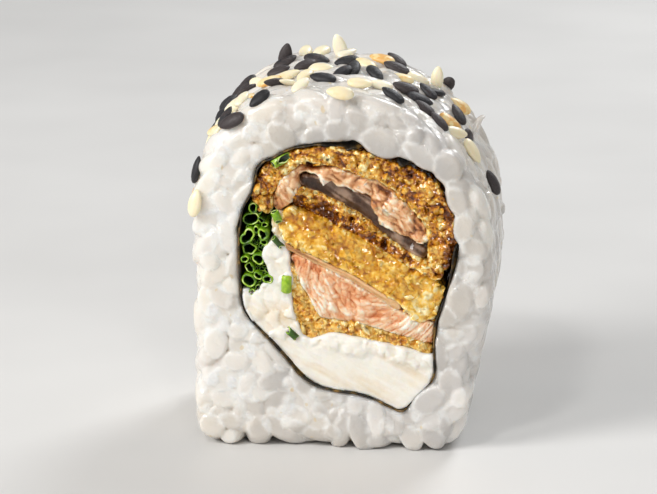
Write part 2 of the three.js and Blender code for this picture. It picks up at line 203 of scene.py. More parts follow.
# Smooth noise from -1 to 1.
def softNoise(place, size, seed):
    scaled = place / size
    cell = np.floor(scaled).astype(np.int64)
    part = scaled - cell
    part = part * part * (3 - 2 * part)
    total = np.zeros(len(place))
    for corner in cellCorners:
        weight = np.prod(np.where(corner, part, 1 - part), axis=1)
        total += weight * cellHash(cell + corner, seed)
    return total * 2 - 1


def roughNoise(place, size, seed, rounds=3, keep=0.5):
    total, strength, whole = np.zeros(len(place)), 1.0, 0.0
    for step in range(rounds):
        total += strength * softNoise(place, size / 2 ** step, seed + step * 17)
        whole += strength
        strength *= keep
    return total / whole


# Distances to the nearest and the second of scattered points, and a number for the nearest one.
def cellNoise(place, size, seed):
    scaled = place / size
    cell = np.floor(scaled).astype(np.int64)
    near = np.full(len(place), 9.0)
    second = np.full(len(place), 9.0)
    pick = np.zeros(len(place))
    for step in cellsAround:
        other = cell + step
        spot = other + np.stack([cellHash(other, seed + axis) for axis in range(3)], axis=1)
        gap = np.linalg.norm(scaled - spot, axis=1)
        closer = gap < near
        second = np.where(closer, near, np.minimum(second, gap))
        pick = np.where(closer, cellHash(other, seed + 5), pick)
        near = np.minimum(near, gap)
    return near, second, pick


def smoothStep(low, high, value):
    part = np.clip((value - low) / (high - low), 0, 1)
    return part * part * (3 - 2 * part)


# The nearest of some places can be looked up in this.
def treeOf(spots):
    tree = kdtree.KDTree(len(spots))
    for index, spot in enumerate(spots):
        tree.insert(spot, index)
    tree.balance()
    return tree


# Soft bumps over flat places. Each bump is X, Z, reach and height.
def bumpsOver(flat, bumps):
    return sum(
        high * np.exp(-(np.linalg.norm(flat - (x + rollShift, z), axis=1) / reach) ** 2)
        for x, z, reach, high in bumps
    )


# Outlines in X and Z, as lists of two-dimensional vectors

# A closed outline from its corners, each X, Z and radius.
def roundedOutline(corners, sag=0.01):
    turns = []
    for index, (x, z, radius) in enumerate(corners):
        corner = Vector((x + rollShift, z))
        before = Vector((corners[index - 1][0] + rollShift, corners[index - 1][1])) - corner
        following = corners[(index + 1) % len(corners)]
        after = Vector((following[0] + rollShift, following[1])) - corner
        opening = before.angle(after)
        turns.append((corner, before, after, opening, radius / math.tan(opening / 2)))
    points = []
    for index, (corner, before, after, opening, reach) in enumerate(turns):
        reachBefore, reachAfter = turns[index - 1][4], turns[(index + 1) % len(turns)][4]
        fit = min(1, before.length / (reach + reachBefore), after.length / (reach + reachAfter))
        radius = reach * fit * math.tan(opening / 2)
        bisector = (before.normalized() + after.normalized()).normalized()
        centre = corner + bisector * radius / math.sin(opening / 2)
        start = corner + before.normalized() * reach * fit - centre
        end = corner + after.normalized() * reach * fit - centre
        startAngle = math.atan2(start.y, start.x)
        sweep = (math.atan2(end.y, end.x) - startAngle + math.pi) % (2 * math.pi) - math.pi
        steps = max(1, round(abs(sweep) / (2 * math.acos(1 - min(1, sag / radius)))))
        for step in range(steps + 1):
            angle = startAngle + sweep * step / steps
            points.append(centre + Vector((math.cos(angle), math.sin(angle))) * radius)
    return [point for index, point in enumerate(points) if (point - points[index - 1]).length > 0.005]


def area(points):
    return sum(points[i - 1].x * p.y - p.x * points[i - 1].y for i, p in enumerate(points)) / 2


# The same outline with points at even steps.
def evenly(points, spacing):
    lengths = [(points[(i + 1) % len(points)] - p).length for i, p in enumerate(points)]
    step = sum(lengths) / max(8, round(sum(lengths) / spacing))
    result, index, along = [], 0, 0.0
    while index < len(points):
        result.append(points[index].lerp(points[(index + 1) % len(points)], along / lengths[index]))
        along += step
        while index < len(points) and along > lengths[index] - 1e-9:
            along -= lengths[index]
            index += 1
    return result


def softened(points, rounds):
    for _ in range(rounds):
        points = [
            (points[i - 1] + p * 2 + points[(i + 1) % len(points)]) / 4 for i, p in enumerate(points)
        ]
    return points


# Moves an outline outwards by one distance, or by a distance for each point.
def offset(points, distance):
    result = []
    for index, point in enumerate(points):
        tangent = (points[(index + 1) % len(points)] - points[index - 1]).normalized()
        step = distance[index] if hasattr(distance, "__len__") else distance
        result.append(point + Vector((tangent.y, -tangent.x)) * step)
    return result


# Distance to an outline, negative inside, and the way out.
def gapTo(flat, outline):
    starts = np.array([tuple(p) for p in outline])
    ends = np.roll(starts, -1, axis=0)
    best = np.full(len(flat), 1e9)
    way = np.zeros((len(flat), 2))
    inside = np.zeros(len(flat), bool)
    for start, end in zip(starts, ends):
        run = end - start
        share = np.clip(((flat - start) @ run) / max(run @ run, 1e-12), 0, 1)
        apart = flat - (start + share[:, None] * run)
        gap = np.einsum("ij,ij->i", apart, apart)
        closer = gap < best
        best = np.where(closer, gap, best)
        way[closer] = apart[closer]
        crosses = (start[1] > flat[:, 1]) != (end[1] > flat[:, 1])
        if run[1]:
            inside ^= crosses & (flat[:, 0] < start[0] + run[0] * (flat[:, 1] - start[1]) / run[1])
    gap = np.sqrt(best)
    way = way / np.maximum(gap, 1e-9)[:, None]
    return np.where(inside, -gap, gap), np.where(inside[:, None], -way, way)


# The outline of a CAD node at the middle of the roll's length, counter-clockwise. The cut lies a
# little off the middle, where it meets no corner of the mesh.
def outlineOf(node):
    copy = bmesh.new()
    copy.from_mesh(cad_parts[node].data)
    bmesh.ops.remove_doubles(copy, verts=copy.verts, dist=1e-7)
    everything = copy.verts[:] + copy.edges[:] + copy.faces[:]
    nearMiddle = (0, 0.13 * mm, 0)
    cut = bmesh.ops.bisect_plane(copy, geom=everything, plane_co=nearMiddle, plane_no=(0, 1, 0))
    neighbours = {}
    for edge in cut["geom_cut"]:
        if isinstance(edge, bmesh.types.BMEdge):
            first, second = edge.verts
            neighbours.setdefault(first, []).append(second)
            neighbours.setdefault(second, []).append(first)
    loops, left = [], dict.fromkeys(neighbours)
    while left:
        here = next(iter(left))
        loop = []
        while here is not None:
            left.pop(here)
            loop.append(Vector((here.co.x / mm, here.co.z / mm)))
            here = next((other for other in neighbours[here] if other in left), None)
        loops.append(loop if area(loop) > 0 else loop[::-1])
    copy.free()
    return max(loops, key=area)


# Slabs: an outline with fine relief on both cut faces

meshing = {
    "rowShare": 0.87,   # rows this far apart, as a share of the spacing, make even triangles
    "scatter": 0.22,    # how far a point may stray from its place, as a share of the spacing
    "rimGap": 0.55,     # and how far points keep from a rim
}


# Triangles inside an outline, as flat places and index triples.
def triangulated(rim, spacing, seed, hole=None):
    draw = np.random.default_rng(seed)
    rimGap = meshing["rimGap"] * spacing
    low = np.min([tuple(p) for p in rim], axis=0)
    high = np.max([tuple(p) for p in rim], axis=0)
    rows = np.arange(low[1], high[1], spacing * meshing["rowShare"])
    columns = np.arange(low[0], high[0], spacing)
    grid = np.array([(x + (row % 2) * spacing / 2, z) for row, z in enumerate(rows) for x in columns])
    grid = grid + draw.uniform(-meshing["scatter"], meshing["scatter"], grid.shape) * spacing
    keep = gapTo(grid, rim)[0] < -rimGap
    if hole:
        keep &= gapTo(grid, hole)[0] > rimGap
    points = [Vector(tuple(p)) for p in rim]
    edges = [(i, (i + 1) % len(rim)) for i in range(len(rim))]
    if hole:
        first = len(points)
        points += [Vector(tuple(p)) for p in hole]
        edges += [(first + i, first + (i + 1) % len(hole)) for i in range(len(hole))]
    points += [Vector(tuple(p)) for p in grid[keep]]
    flat, _, faces, *_ = geometry.delaunay_2d_cdt(points, edges, [], 1, 1e-6)
    flat = np.array([tuple(p) for p in flat])
    faces = np.array(faces)
    middles = flat[faces].mean(axis=1)
    good = gapTo(middles, rim)[0] < 0
    if hole:
        good &= gapTo(middles, hole)[0] > 0
    faces = faces[good]
    a, b, c = flat[faces[:, 0]], flat[faces[:, 1]], flat[faces[:, 2]]
    turn = (b[:, 0] - a[:, 0]) * (c[:, 1] - a[:, 1]) - (b[:, 1] - a[:, 1]) * (c[:, 0] - a[:, 0])
    faces[turn < 0] = faces[turn < 0][:, ::-1]
    used = np.unique(faces)
    renumber = np.full(len(flat), -1)
    renumber[used] = np.arange(len(used))
    return flat[used], renumber[faces]


# The directed edges that have a face on one side only.
def rimEdges(faces):
    directed = {}
    for face in faces.tolist():
        for first, second in zip(face, face[1:] + face[:1]):
            directed[(first, second)] = True
    return [edge for edge in directed if (edge[1], edge[0]) not in directed]


# Faces between rings of points, one for each rim edge. A ring gives each rim point's own number.
def bridged(edges, rings):
    return [
        [near[second], near[first], far[first], far[second]]
        for near, far in zip(rings, rings[1:]) for first, second in edges
    ]


# Faces between rings of points, and from the last ring to the first where the tube is closed.
def ringFaces(rings, sides, closed=False):
    return [
        (ring * sides + step, ring * sides + (step + 1) % sides,
         (ring + 1) % rings * sides + (step + 1) % sides, (ring + 1) % rings * sides + step)
        for ring in range(rings if closed else rings - 1) for step in range(sides)
    ]


# A front cap that looks along -Y, a back cap along +Y, and walls that join their rims.
def slabMesh(name, flat, faces, front, back, extras, walls=7):
    count = len(flat)
    frontPlaces = np.stack([flat[:, 0], front, flat[:, 1]], axis=1)
    backPlaces = np.stack([flat[:, 0], back, flat[:, 1]], axis=1)
    rim = rimEdges(faces)
    rimPoints = sorted({point for edge in rim for point in edge})
    vertices = [frontPlaces, backPlaces]
    ringOf = [{point: point for point in rimPoints}]
    start = 2 * count
    for level in range(1, walls):
        share = level / walls
        vertices.append(frontPlaces[rimPoints] * (1 - share) + backPlaces[rimPoints] * share)
        ringOf.append({point: start + index for index, point in enumerate(rimPoints)})
        start += len(rimPoints)
    ringOf.append({point: point + count for point in rimPoints})
    allFaces = faces.tolist() + (faces[:, ::-1] + count).tolist() + bridged(rim, ringOf)
    made = newObject(name, np.concatenate(vertices), allFaces)
    for label, (frontValue, backValue) in extras.items():
        wallValue = np.tile((frontValue[rimPoints] + backValue[rimPoints]) / 2, walls - 1)
        setAttribute(made.data, label, np.concatenate([frontValue, backValue, wallValue]))
    return made


# How far a face drops towards its rim.
def edgeRound(gap, radius):
    inward = np.clip(radius + gap, 0, radius)
    return radius - np.sqrt(np.maximum(radius ** 2 - inward ** 2, 0))


# Scattering with Geometry Nodes

def link(tree, output, target):
    tree.links.new(output, target)


# A node with values or links for its inputs, and settings of its own.
def addNode(tree, kind, values=None, **settings):
    made = tree.nodes.new(kind)
    for key, value in settings.items():
        setattr(made, key, value)
    for key, value in (values or {}).items():
        if isinstance(value, bpy.types.NodeSocket):
            link(tree, value, made.inputs[key])
        else:
            made.inputs[key].default_value = value
    return made


# What a scattering can be told, with the kind of each input and its value in metres or as it is
scatterInputs = {
    "Spacing": ("NodeSocketFloat", 0.003),
    "Seed": ("NodeSocketInt", 1),
    "Smallest": ("NodeSocketFloat", 0.9),
    "Largest": ("NodeSocketFloat", 1.1),
    "Lean": ("NodeSocketFloat", 0.2),
    "Lowest": ("NodeSocketFloat", -0.0002),
    "Highest": ("NodeSocketFloat", 0.0002),
}


def scatterTree(kinds, material):
    tree = bpy.data.node_groups.new("scatter", "GeometryNodeTree")
    tree.interface.new_socket("Geometry", in_out="INPUT", socket_type="NodeSocketGeometry")
    for label, (kind, value) in scatterInputs.items():
        tree.interface.new_socket(label, in_out="INPUT", socket_type=kind).default_value = value
    tree.interface.new_socket("Geometry", in_out="OUTPUT", socket_type="NodeSocketGeometry")
    given = addNode(tree, "NodeGroupInput").outputs
    cover = addNode(tree, "GeometryNodeInputNamedAttribute", {"Name": "cover"}, data_type="FLOAT")
    spread = addNode(tree, "GeometryNodeDistributePointsOnFaces", {
        "Mesh": given["Geometry"],
        "Distance Min": given["Spacing"],
        "Density Max": 4e6,
        "Density Factor": cover.outputs["Attribute"],
        "Seed": given["Seed"],
    }, distribute_method="POISSON")
    height = addNode(tree, "FunctionNodeRandomValue", {
        2: given["Lowest"], 3: given["Highest"], "Seed": given["Seed"],
    })
    shift = addNode(tree, "ShaderNodeVectorMath", {
        0: spread.outputs["Normal"], "Scale": height.outputs[1],
    }, operation="SCALE")
    placed = addNode(tree, "GeometryNodeSetPosition", {
        "Geometry": spread.outputs["Points"], "Offset": shift.outputs["Vector"],
    })
    lean = addNode(tree, "ShaderNodeMath", {0: given["Lean"], 1: -1.0}, operation="MULTIPLY")
    least = addNode(tree, "ShaderNodeCombineXYZ", {"X": lean.outputs[0], "Y": lean.outputs[0]})
    most = addNode(tree, "ShaderNodeCombineXYZ", {"X": given["Lean"], "Y": given["Lean"], "Z": 6.2832})
    heading = addNode(tree, "FunctionNodeRandomValue", {
        0: least.outputs[0], 1: most.outputs[0], "Seed": given["Seed"],
    }, data_type="FLOAT_VECTOR")
    turn = addNode(tree, "FunctionNodeRotateRotation", {
        "Rotation": spread.outputs["Rotation"], "Rotate By": heading.outputs[0],
    }, rotation_space="LOCAL")
    size = addNode(tree, "FunctionNodeRandomValue", {
        2: given["Smallest"], 3: given["Largest"], "Seed": given["Seed"],
    })
    which = addNode(tree, "FunctionNodeRandomValue", {
        4: 0, 5: 99, "Seed": given["Seed"],
    }, data_type="INT")
    source = addNode(tree, "GeometryNodeCollectionInfo", {
        "Collection": kinds, "Separate Children": True, "Reset Children": True,
    })
    strewn = addNode(tree, "GeometryNodeInstanceOnPoints", {
        "Points": placed.outputs["Geometry"],
        "Instance": source.outputs[0],
        "Pick Instance": True,
        "Instance Index": which.outputs[2],
        "Rotation": turn.outputs[0],
        "Scale": size.outputs[1],
    })
    grain = addNode(tree, "FunctionNodeRandomValue", {"Seed": given["Seed"]})
    marked = addNode(tree, "GeometryNodeStoreNamedAttribute", {
        "Geometry": strewn.outputs[0], "Name": "grain", "Value": grain.outputs[1],
    }, data_type="FLOAT", domain="INSTANCE")
    real = addNode(tree, "GeometryNodeRealizeInstances", {"Geometry": marked.outputs[0]})
    painted = addNode(tree, "GeometryNodeSetMaterial", {
        "Geometry": real.outputs[0], "Material": material,
    })
    link(tree, painted.outputs[0], addNode(tree, "NodeGroupOutput").inputs[0])
    return tree


# Strews the kinds over the carrier's faces and gives them as one plain mesh. The carrier goes.
def scatter(name, carrier, kinds, material, settings):
    group = bpy.data.collections.new(name + "_kinds")
    for kind in kinds:
        bpy.context.scene.collection.objects.unlink(kind)
        group.objects.link(kind)
    tree = scatterTree(group, material)
    modifier = carrier.modifiers.new("scatter", "NODES")
    modifier.node_group = tree
    for socket in tree.interface.items_tree:
        if socket.in_out == "INPUT" and socket.name in settings:
            value = settings[socket.name]
            if socket.socket_type == "NodeSocketFloat":
                value = float(value)
            modifier[socket.identifier] = value
    settle(carrier)
    carrier.name = name
    discard(*kinds)
    bpy.data.collections.remove(group)
    bpy.data.node_groups.remove(tree)
    return carrier


# Material helpers

# A colour as seen on a screen, 0 to 255, in the renderer's own terms.
def tint(red, green, blue):
    return tuple(
        c / 255 / 12.92 if c <= 10.3 else ((c / 255 + 0.055) / 1.055) ** 2.4 for c in (red, green, blue)
    ) + (1.0,)


def newFinish(name, **sockets):
    material = bpy.data.materials.new(name)
    material.use_nodes = True
    tree = material.node_tree
    shader = tree.nodes["Principled BSDF"]
    for label, value in sockets.items():
        shader.inputs[label.replace("_", " ")].default_value = value
    return material, tree, shader


def objectPlace(tree):
    return addNode(tree, "ShaderNodeTexCoord").outputs["Object"]


def attributeValue(tree, name):
    return addNode(tree, "ShaderNodeAttribute", attribute_name=name).outputs["Fac"]


def noiseNode(tree, size, detail=3.0, roughness=0.55):
    return addNode(tree, "ShaderNodeTexNoise", {
        "Vector": objectPlace(tree),
        "Scale": 1 / (size * mm),
        "Detail": detail,
        "Roughness": roughness,
    }).outputs[0]


def rampNode(tree, value, stops):
    ramp = addNode(tree, "ShaderNodeValToRGB", {"Fac": value})
    elements = ramp.color_ramp.elements
    while len(elements) < len(stops):
        elements.new(0.5)
    for element, (position, colour) in zip(elements, stops):
        element.position = position
        element.color = colour
    return ramp.outputs["Color"]


def mathNode(tree, operation, first, second):
    return addNode(tree, "ShaderNodeMath", {0: first, 1: second}, operation=operation).outputs[0]


# A tone from the mesh with noise of one size laid over it.
def mottledTone(tree, size, detail, roughness, strength):
    noise = rangeNode(tree, noiseNode(tree, size, detail, roughness), 0.3, 0.7, -strength, strength)
    return mathNode(tree, "ADD", attributeValue(tree, "tone"), noise)


def rangeNode(tree, value, low, high, newLow, newHigh):
    return addNode(tree, "ShaderNodeMapRange", {
        "Value": value, "From Min": low, "From Max": high, "To Min": newLow, "To Max": newHigh,
    }).outputs[0]


def mixColours(tree, share, first, second, blend="MIX"):
    return addNode(tree, "ShaderNodeMix", {0: share, 6: first, 7: second},
                   data_type="RGBA", blend_type=blend).outputs[2]


def bumpNode(tree, shader, height, distance):
    bump = addNode(tree, "ShaderNodeBump", {
        "Height": height, "Distance": distance * mm, "Strength": 1.0,
    })
    link(tree, bump.outputs["Normal"], shader.inputs["Normal"])


# Rice: one skin round a plain core, raised by closely packed grains

rice = {
    "length": 5.6,
    "width": 2.55,
    "thickness": 2.1,
    "inset": 0.95,            # the core lies this far under the outer wall
    "faceInset": 0.8,         # and this far under the cut faces
    "edgeRound": 1.4,
    "spacing": 0.18,
    "rowSpacing": 0.25,
    "packing": 1.52,          # how close grains lie, where 2 is side by side
    "fillers": ((0.8, 1.15, -0.3), (0.6, 0.95, -0.4)),  # smaller grains: size, packing and lift
    "cutDepth": (0.05, 0.5),  # each grain's cut lies this far under the face
    "cutTilt": 0.11,          # and slopes by up to about this much
    "cutSoftness": 0.3,       # how much of a bulge past the face is kept
    "wallSoftness": 0.4,      # how much of a bulge past the outer wall is kept
    # The white rim at the seams is partly starch and partly a painted highlight along the grain's edge
    "seamWidth": 0.24,        # a grain's white rim
    "shadeNearNoriWidth": 3.6,         # the rice is greyer this near to the seaweed
}
shred = {
    "foot": (471.5, 136.0),   # where it stands, in the photograph's pixels
    "path": ((-0.5, -0.3), (0.1, 0.3), (0.6, 1.0), (0.7, 1.5), (1.0, 2.0), (1.5, 2.15)),
    "radius": 0.42,
    "breadth": 2.4,           # how many times deeper than wide it is
}
# Notches in the rice at the seaweed, which the seaweed fills: X, Z, reach and depth, where a depth
# below 0 is a swelling
notches = [
    (0.85, 33.6, 0.6, 0.85), (5.2, 32.5, 0.5, 0.7), (9.3, 30.6, 0.4, 0.35), (-10.9, 23.6, 0.5, 0.35),
    (-10.1, 28.2, 1.9, -0.7), (-7.6, 31.4, 0.9, -0.25), (-5.6, 7.9, 1.2, 0.2),
]
# Big grains that hang over the seaweed's edge: X, Z, heading in degrees, length, width
hangingGrains = [
    (-0.8, 34.5, 10, 3.4, 2.5),
    (3.6, 33.2, -28, 4.6, 3.2),
    (7.7, 31.9, -38, 4.8, 2.2),
    (10.4, 30.7, -50, 3.6, 3.1),
    (11.5, 27.3, -68, 3.8, 2.3),
    (12.2, 24.4, 85, 3.6, 2.4),
    (12.0, 16.5, 80, 4.6, 2.9),
    (8.8, 5.6, 35, 4.2, 2.8),
]
# The slice's outer wall: X, Z and radius of each corner
wallCorners = [
    (-16.2, 0.0, 2.5),
    (12.2, 0.0, 3.5),
    (15.5, 17.0, 20.0),
    (15.3, 38.35, 17.0),
    (-16.2, 38.35, 11.5),
]
wallOutline = evenly(roundedOutline(wallCorners), 0.4)
noriOutline = outlineOf("nori")


# The hole's outline as it is, and drawn inward where a big grain hangs over the seaweed.
def holeRims():
    plain = evenly(noriOutline, rice["spacing"])
    deep = bumpsOver(np.array([tuple(point) for point in plain]), notches)
    plain = evenly(softened(offset(plain, deep), 1), rice["spacing"])
    drawn = []
    for point, target in zip(plain, offset(plain, -1)):
        way = target - point
        reach = 0
        for x, z, heading, length, width in hangingGrains:
            turn = Matrix.Rotation(-math.radians(heading), 2)
            start = turn @ (point - Vector((x + rollShift, z)))
            step = turn @ way
            start = Vector((start.x * 2 / length, start.y * 2 / width))
            step = Vector((step.x * 2 / length, step.y * 2 / width))
            square, half, outside = step.dot(step), start.dot(step), start.dot(start) - 1
            if outside < 0:
                reach = max(reach, (math.sqrt(half * half - square * outside) - half) / square)
        drawn.append(point + way * min(reach, 1.9))
    return plain, softened(drawn, 1)


# The core's skin: places, outward directions, ways out from the contour, faces, how many places may
# be raised, and how far each place of a cut face lies from the hole.
def riceSkin():
    plain, drawn = holeRims()
    outline = evenly(offset(wallOutline, -rice["inset"]), rice["spacing"] * 1.2)
    flat, faces = triangulated(outline, rice["spacing"], 5, drawn)
    gap, way = gapTo(flat, wallOutline)
    gap = gap + rice["inset"]
    radius, plane = rice["edgeRound"], halfDepth - rice["faceInset"]
    turn = math.pi / 4 * np.clip(1 + gap / radius, 0, 1)
    spots = flat + way * np.where(gap > -radius, radius * np.sin(turn) - radius - gap, 0)[:, None]
    depth = plane - radius + radius * np.cos(turn)
    vertices, normals, ways = [], [], []
    for side in (-1, 1):
        vertices.append(np.stack([spots[:, 0], side * depth, spots[:, 1]], axis=1))
        slope = [way[:, 0] * np.sin(turn), side * np.cos(turn), way[:, 1] * np.sin(turn)]
        normals.append(np.stack(slope, axis=1))
        ways.append(way)
    rim = rimEdges(faces)
    outerRim = [edge for edge in rim if gap[edge[0]] > -0.05]
    holeRim = [edge for edge in rim if gap[edge[0]] <= -0.05]
    count = len(flat)
    allFaces = faces.tolist() + (faces[:, ::-1] + count).tolist()
    total = 2 * count
    ringPoints = sorted({point for edge in outerRim for point in edge})
    rings = [{point: point for point in ringPoints}]
    rows = round(2 * plane / rice["rowSpacing"])
    for row in range(1, rows):
        down = 2 * plane * row / rows
        side, down = (-1, down) if down < plane else (1, 2 * plane - down)
        angle = math.pi / 2 - math.pi / 4 * max(0, 1 - down / radius)
        away = way[ringPoints]
        ring = flat[ringPoints] - away * radius * (1 - math.sin(angle))
        y = plane - down if down > radius else plane - radius + radius * math.cos(angle)
        vertices.append(np.stack([ring[:, 0], np.full(len(ring), side * y), ring[:, 1]], axis=1))
        forward = np.full(len(ring), side * math.cos(angle))
        slope = [away[:, 0] * math.sin(angle), forward, away[:, 1] * math.sin(angle)]
        normals.append(np.stack(slope, axis=1))
        ways.append(away)
        rings.append({point: total + index for index, point in enumerate(ringPoints)})
        total += len(ringPoints)
    rings.append({point: point + count for point in ringPoints})
    allFaces += bridged(outerRim, rings)
    raisedCount = total
    ringPoints = sorted({point for edge in holeRim for point in edge})
    tree = treeOf([(point.x, point.y, 0) for point in drawn])
    behind = np.array([tuple(plain[tree.find((*flat[point], 0))[1]]) for point in ringPoints])
    rings = [{point: point for point in ringPoints}]
    for y in (0.5 - plane, -3.0, 3.0, plane - 0.5):
        vertices.append(np.stack([behind[:, 0], np.full(len(behind), y), behind[:, 1]], axis=1))
        rings.append({point: total + index for index, point in enumerate(ringPoints)})
        total += len(ringPoints)
    rings.append({point: point + count for point in ringPoints})
    allFaces += bridged(holeRim, rings)
    holeGap = gapTo(flat, evenly(drawn, 0.4))[0]
    skin = [np.concatenate(parts) for parts in (vertices, normals, ways)]
    return *skin, allFaces, raisedCount, holeGap


# Grains as their middles, their axes over their half sizes, their tones and their cuts.
class Grains:
    def __init__(self, room=4000):
        self.middles = np.zeros((room, 3))
        self.axes = np.zeros((room, 3, 3))
        self.tones = np.zeros(room)
        self.cuts = np.zeros((room, 3))
        self.count = 0

    def crowded(self, middle, axes, packing):
        apart = self.middles[:self.count] - middle
        own = np.linalg.norm(apart @ axes.T, axis=1)
        other = np.linalg.norm(np.einsum("nij,nj->ni", self.axes[:self.count], apart), axis=1)
        return self.count > 0 and np.min(own + other) < 2 * packing

    # The cut is its depth under the face and its slopes along X and Z.
    def add(self, middle, axes, tone, cut):
        self.middles[self.count] = middle
        self.axes[self.count] = axes
        self.tones[self.count] = tone
        self.cuts[self.count] = cut
        self.count += 1


# Adds a grain at each place, in the given order, wherever there is room for it.
def packGrains(grains, place, normal, way, order, draw, size, packing, lift):
    for index in order:
        up = normal[index]
        onFace = abs(up[1]) > 0.9
        contour = np.array([-way[index][1], 0, way[index][0]])
        side = np.cross(up, contour)
        side /= np.linalg.norm(side)
        heading = draw.normal(0, 0.9 if onFace else 0.55)
        tilt = draw.normal(0, 0.28 if onFace else 0.08)
        flatLong = contour * math.cos(heading) + side * math.sin(heading)
        long = flatLong * math.cos(tilt) + up * math.sin(tilt)
        across = np.cross(up, flatLong)
        across /= np.linalg.norm(across)
        thick = np.cross(long, across)
        length = rice["length"] * size * draw.uniform(0.62 if onFace else 0.85, 1.08)
        width = rice["width"] * (0.5 + 0.5 * size) * draw.uniform(0.85, 1.12)
        thickness = rice["thickness"] * (0.5 + 0.5 * size)
        axes = np.stack([long * 2 / length, across * 2 / width, thick * 2 / thickness])
        middle = place[index] + up * (lift + draw.uniform(-0.22, 0.22) + (0.2 if onFace else 0))
        if not grains.crowded(middle, axes, packing):
            tilts = draw.normal(0, rice["cutTilt"], 2)
            grains.add(middle, axes, draw.random(), (draw.uniform(*rice["cutDepth"]), *tilts))


# How far each place must move outwards to lie on the grains' skin, for the highest and the next
# grain. Each grain ends at its own cut.
def raisedBy(grains, first, place, normal, heights, tones):
    for index in range(first, grains.count):
        middle, axes = grains.middles[index], grains.axes[index]
        close = np.nonzero(np.abs(place - middle).max(axis=1) < rice["length"] * 0.62)[0]
        start = (place[close] - middle) @ axes.T
        step = normal[close] @ axes.T
        square = (step * step).sum(axis=1)
        half = (start * step).sum(axis=1)
        root = half * half - square * ((start * start).sum(axis=1) - 1)
        height = np.where(root > 0, (np.sqrt(np.maximum(root, 0)) - half) / square, 0)
        deep, slopeX, slopeZ = grains.cuts[index]
        apart = place[close] - middle
        plane = halfDepth - deep + slopeX * apart[:, 0] + slopeZ * apart[:, 2]
        most = (plane - np.abs(place[close, 1])) / np.maximum(np.abs(normal[close, 1]), 0.15)
        over = np.maximum(height - np.maximum(most, 0.1), 0)
        height = height - over + 0.1 * (1 - np.exp(-over / 0.1))
        higher = height > heights[0, close]
        heights[1, close] = np.where(higher, heights[0, close], np.maximum(heights[1, close], height))
        heights[0, close] = np.maximum(heights[0, close], height)
        tones[close] = np.where(higher, grains.tones[index], tones[close])


def edgesOf(mesh):
    pairs = np.zeros(len(mesh.edges) * 2, np.int32)
    mesh.edges.foreach_get("vertices", pairs)
    return pairs.reshape(-1, 2)


# Each vertex's value mixed with its neighbours' mean.
def averaged(values, pairs, rounds):
    values = np.asarray(values, float)
    counts = np.bincount(pairs.ravel(), minlength=len(values)).astype(float)
    for _ in range(rounds):
        total = np.zeros_like(values)
        np.add.at(total, pairs[:, 0], values[pairs[:, 1]])
        np.add.at(total, pairs[:, 1], values[pairs[:, 0]])
        mean = total / (counts[:, None] if values.ndim == 2 else counts)
        values = (values + mean) / 2
    return values


# Positive in creases, negative on bulges, in millimetres.
def hollowness(mesh, rounds=4):
    place, pairs = places(mesh), edgesOf(mesh)
    lifted = averaged(place, pairs, rounds) - place
    return np.einsum("ij,ij->i", lifted, normalsOf(mesh))


# Presses what stands out back towards the cut faces, the wall and the foot.
def limited(place):
    over = np.maximum(np.abs(place[:, 1]) - (halfDepth - 0.05), 0)
    place[:, 1] -= np.sign(place[:, 1]) * over * (1 - rice["cutSoftness"])
    flat = place[:, [0, 2]]
    gap, way = gapTo(flat, evenly(wallOutline, 0.8))
    flat = flat - way * (np.maximum(gap + 0.1, 0) * (1 - rice["wallSoftness"]))[:, None]
    place[:, 0] = flat[:, 0]
    place[:, 2] = np.maximum(flat[:, 1], 0)
    return place


# The big grains that hang over the seaweed's edge, on both cut faces.
def hangGrains(grains):
    for side in (-1, 1):
        for index, (x, z, heading, length, width) in enumerate(hangingGrains):
            across, up = math.cos(math.radians(heading)), math.sin(math.radians(heading))
            axes = np.array([(across, 0, up), (-up, 0, across), (0, -1, 0)]) * 2
            axes /= np.array([length, width, 1.5])[:, None]
            middle = np.array([x + rollShift, side * (halfDepth - 0.55), z])
            cut = (0.02, 0.08 * (index % 3 - 1), 0.1 * (index % 2))
            grains.add(middle, axes, 0.25 + 0.2 * (index % 3), cut)


# The attributes that the rice's finish reads: the grain's tone, its seams, painted shade near the seaweed,
# painted light with a milky look on the left, and painted shade in creases.
def paintRice(mesh, place, heights, tones, holeGap):
    raisedCount, faceCount = len(tones), 2 * len(holeGap)
    pairs = edgesOf(mesh)
    seam, shadeNearNori, grain = np.ones(len(place)), np.zeros(len(place)), np.zeros(len(place))
    seam[:raisedCount] = 1 - smoothStep(0.0, rice["seamWidth"], heights[0] - heights[1])
    # Painted shade: the cut faces grow greyer near the seaweed
    shadeNearNori[:faceCount] = np.tile(1 - smoothStep(0.0, rice["shadeNearNoriWidth"], holeGap), 2)
    # The painted shade near the seaweed is weaker low down, and the left side and its foot are painted milky
    # and paler, partly as painted light
    shadeNearNori *= 0.45 + 0.55 * smoothStep(26.0, 31.0, place[:, 2])
    # Painted light and a milky look: the left side is paler, less so at its foot
    milkAndLight = smoothStep(-5.0, -13.0, place[:, 0]) * (1 - 0.4 * smoothStep(8.0, 2.0, place[:, 2]))
    grain[:raisedCount] = tones
    setAttribute(mesh, "grain", averaged(grain, pairs, 1))
    setAttribute(mesh, "seam", averaged(seam, pairs, 1))
    setAttribute(mesh, "shadeNearNori", shadeNearNori * (1 - 0.8 * milkAndLight))
    setAttribute(mesh, "milkAndLight", milkAndLight)
    # Painted shade: how hollow each place is, for the finish to darken the creases
    setAttribute(mesh, "creaseShade", averaged(hollowness(mesh, 5), pairs, 1))


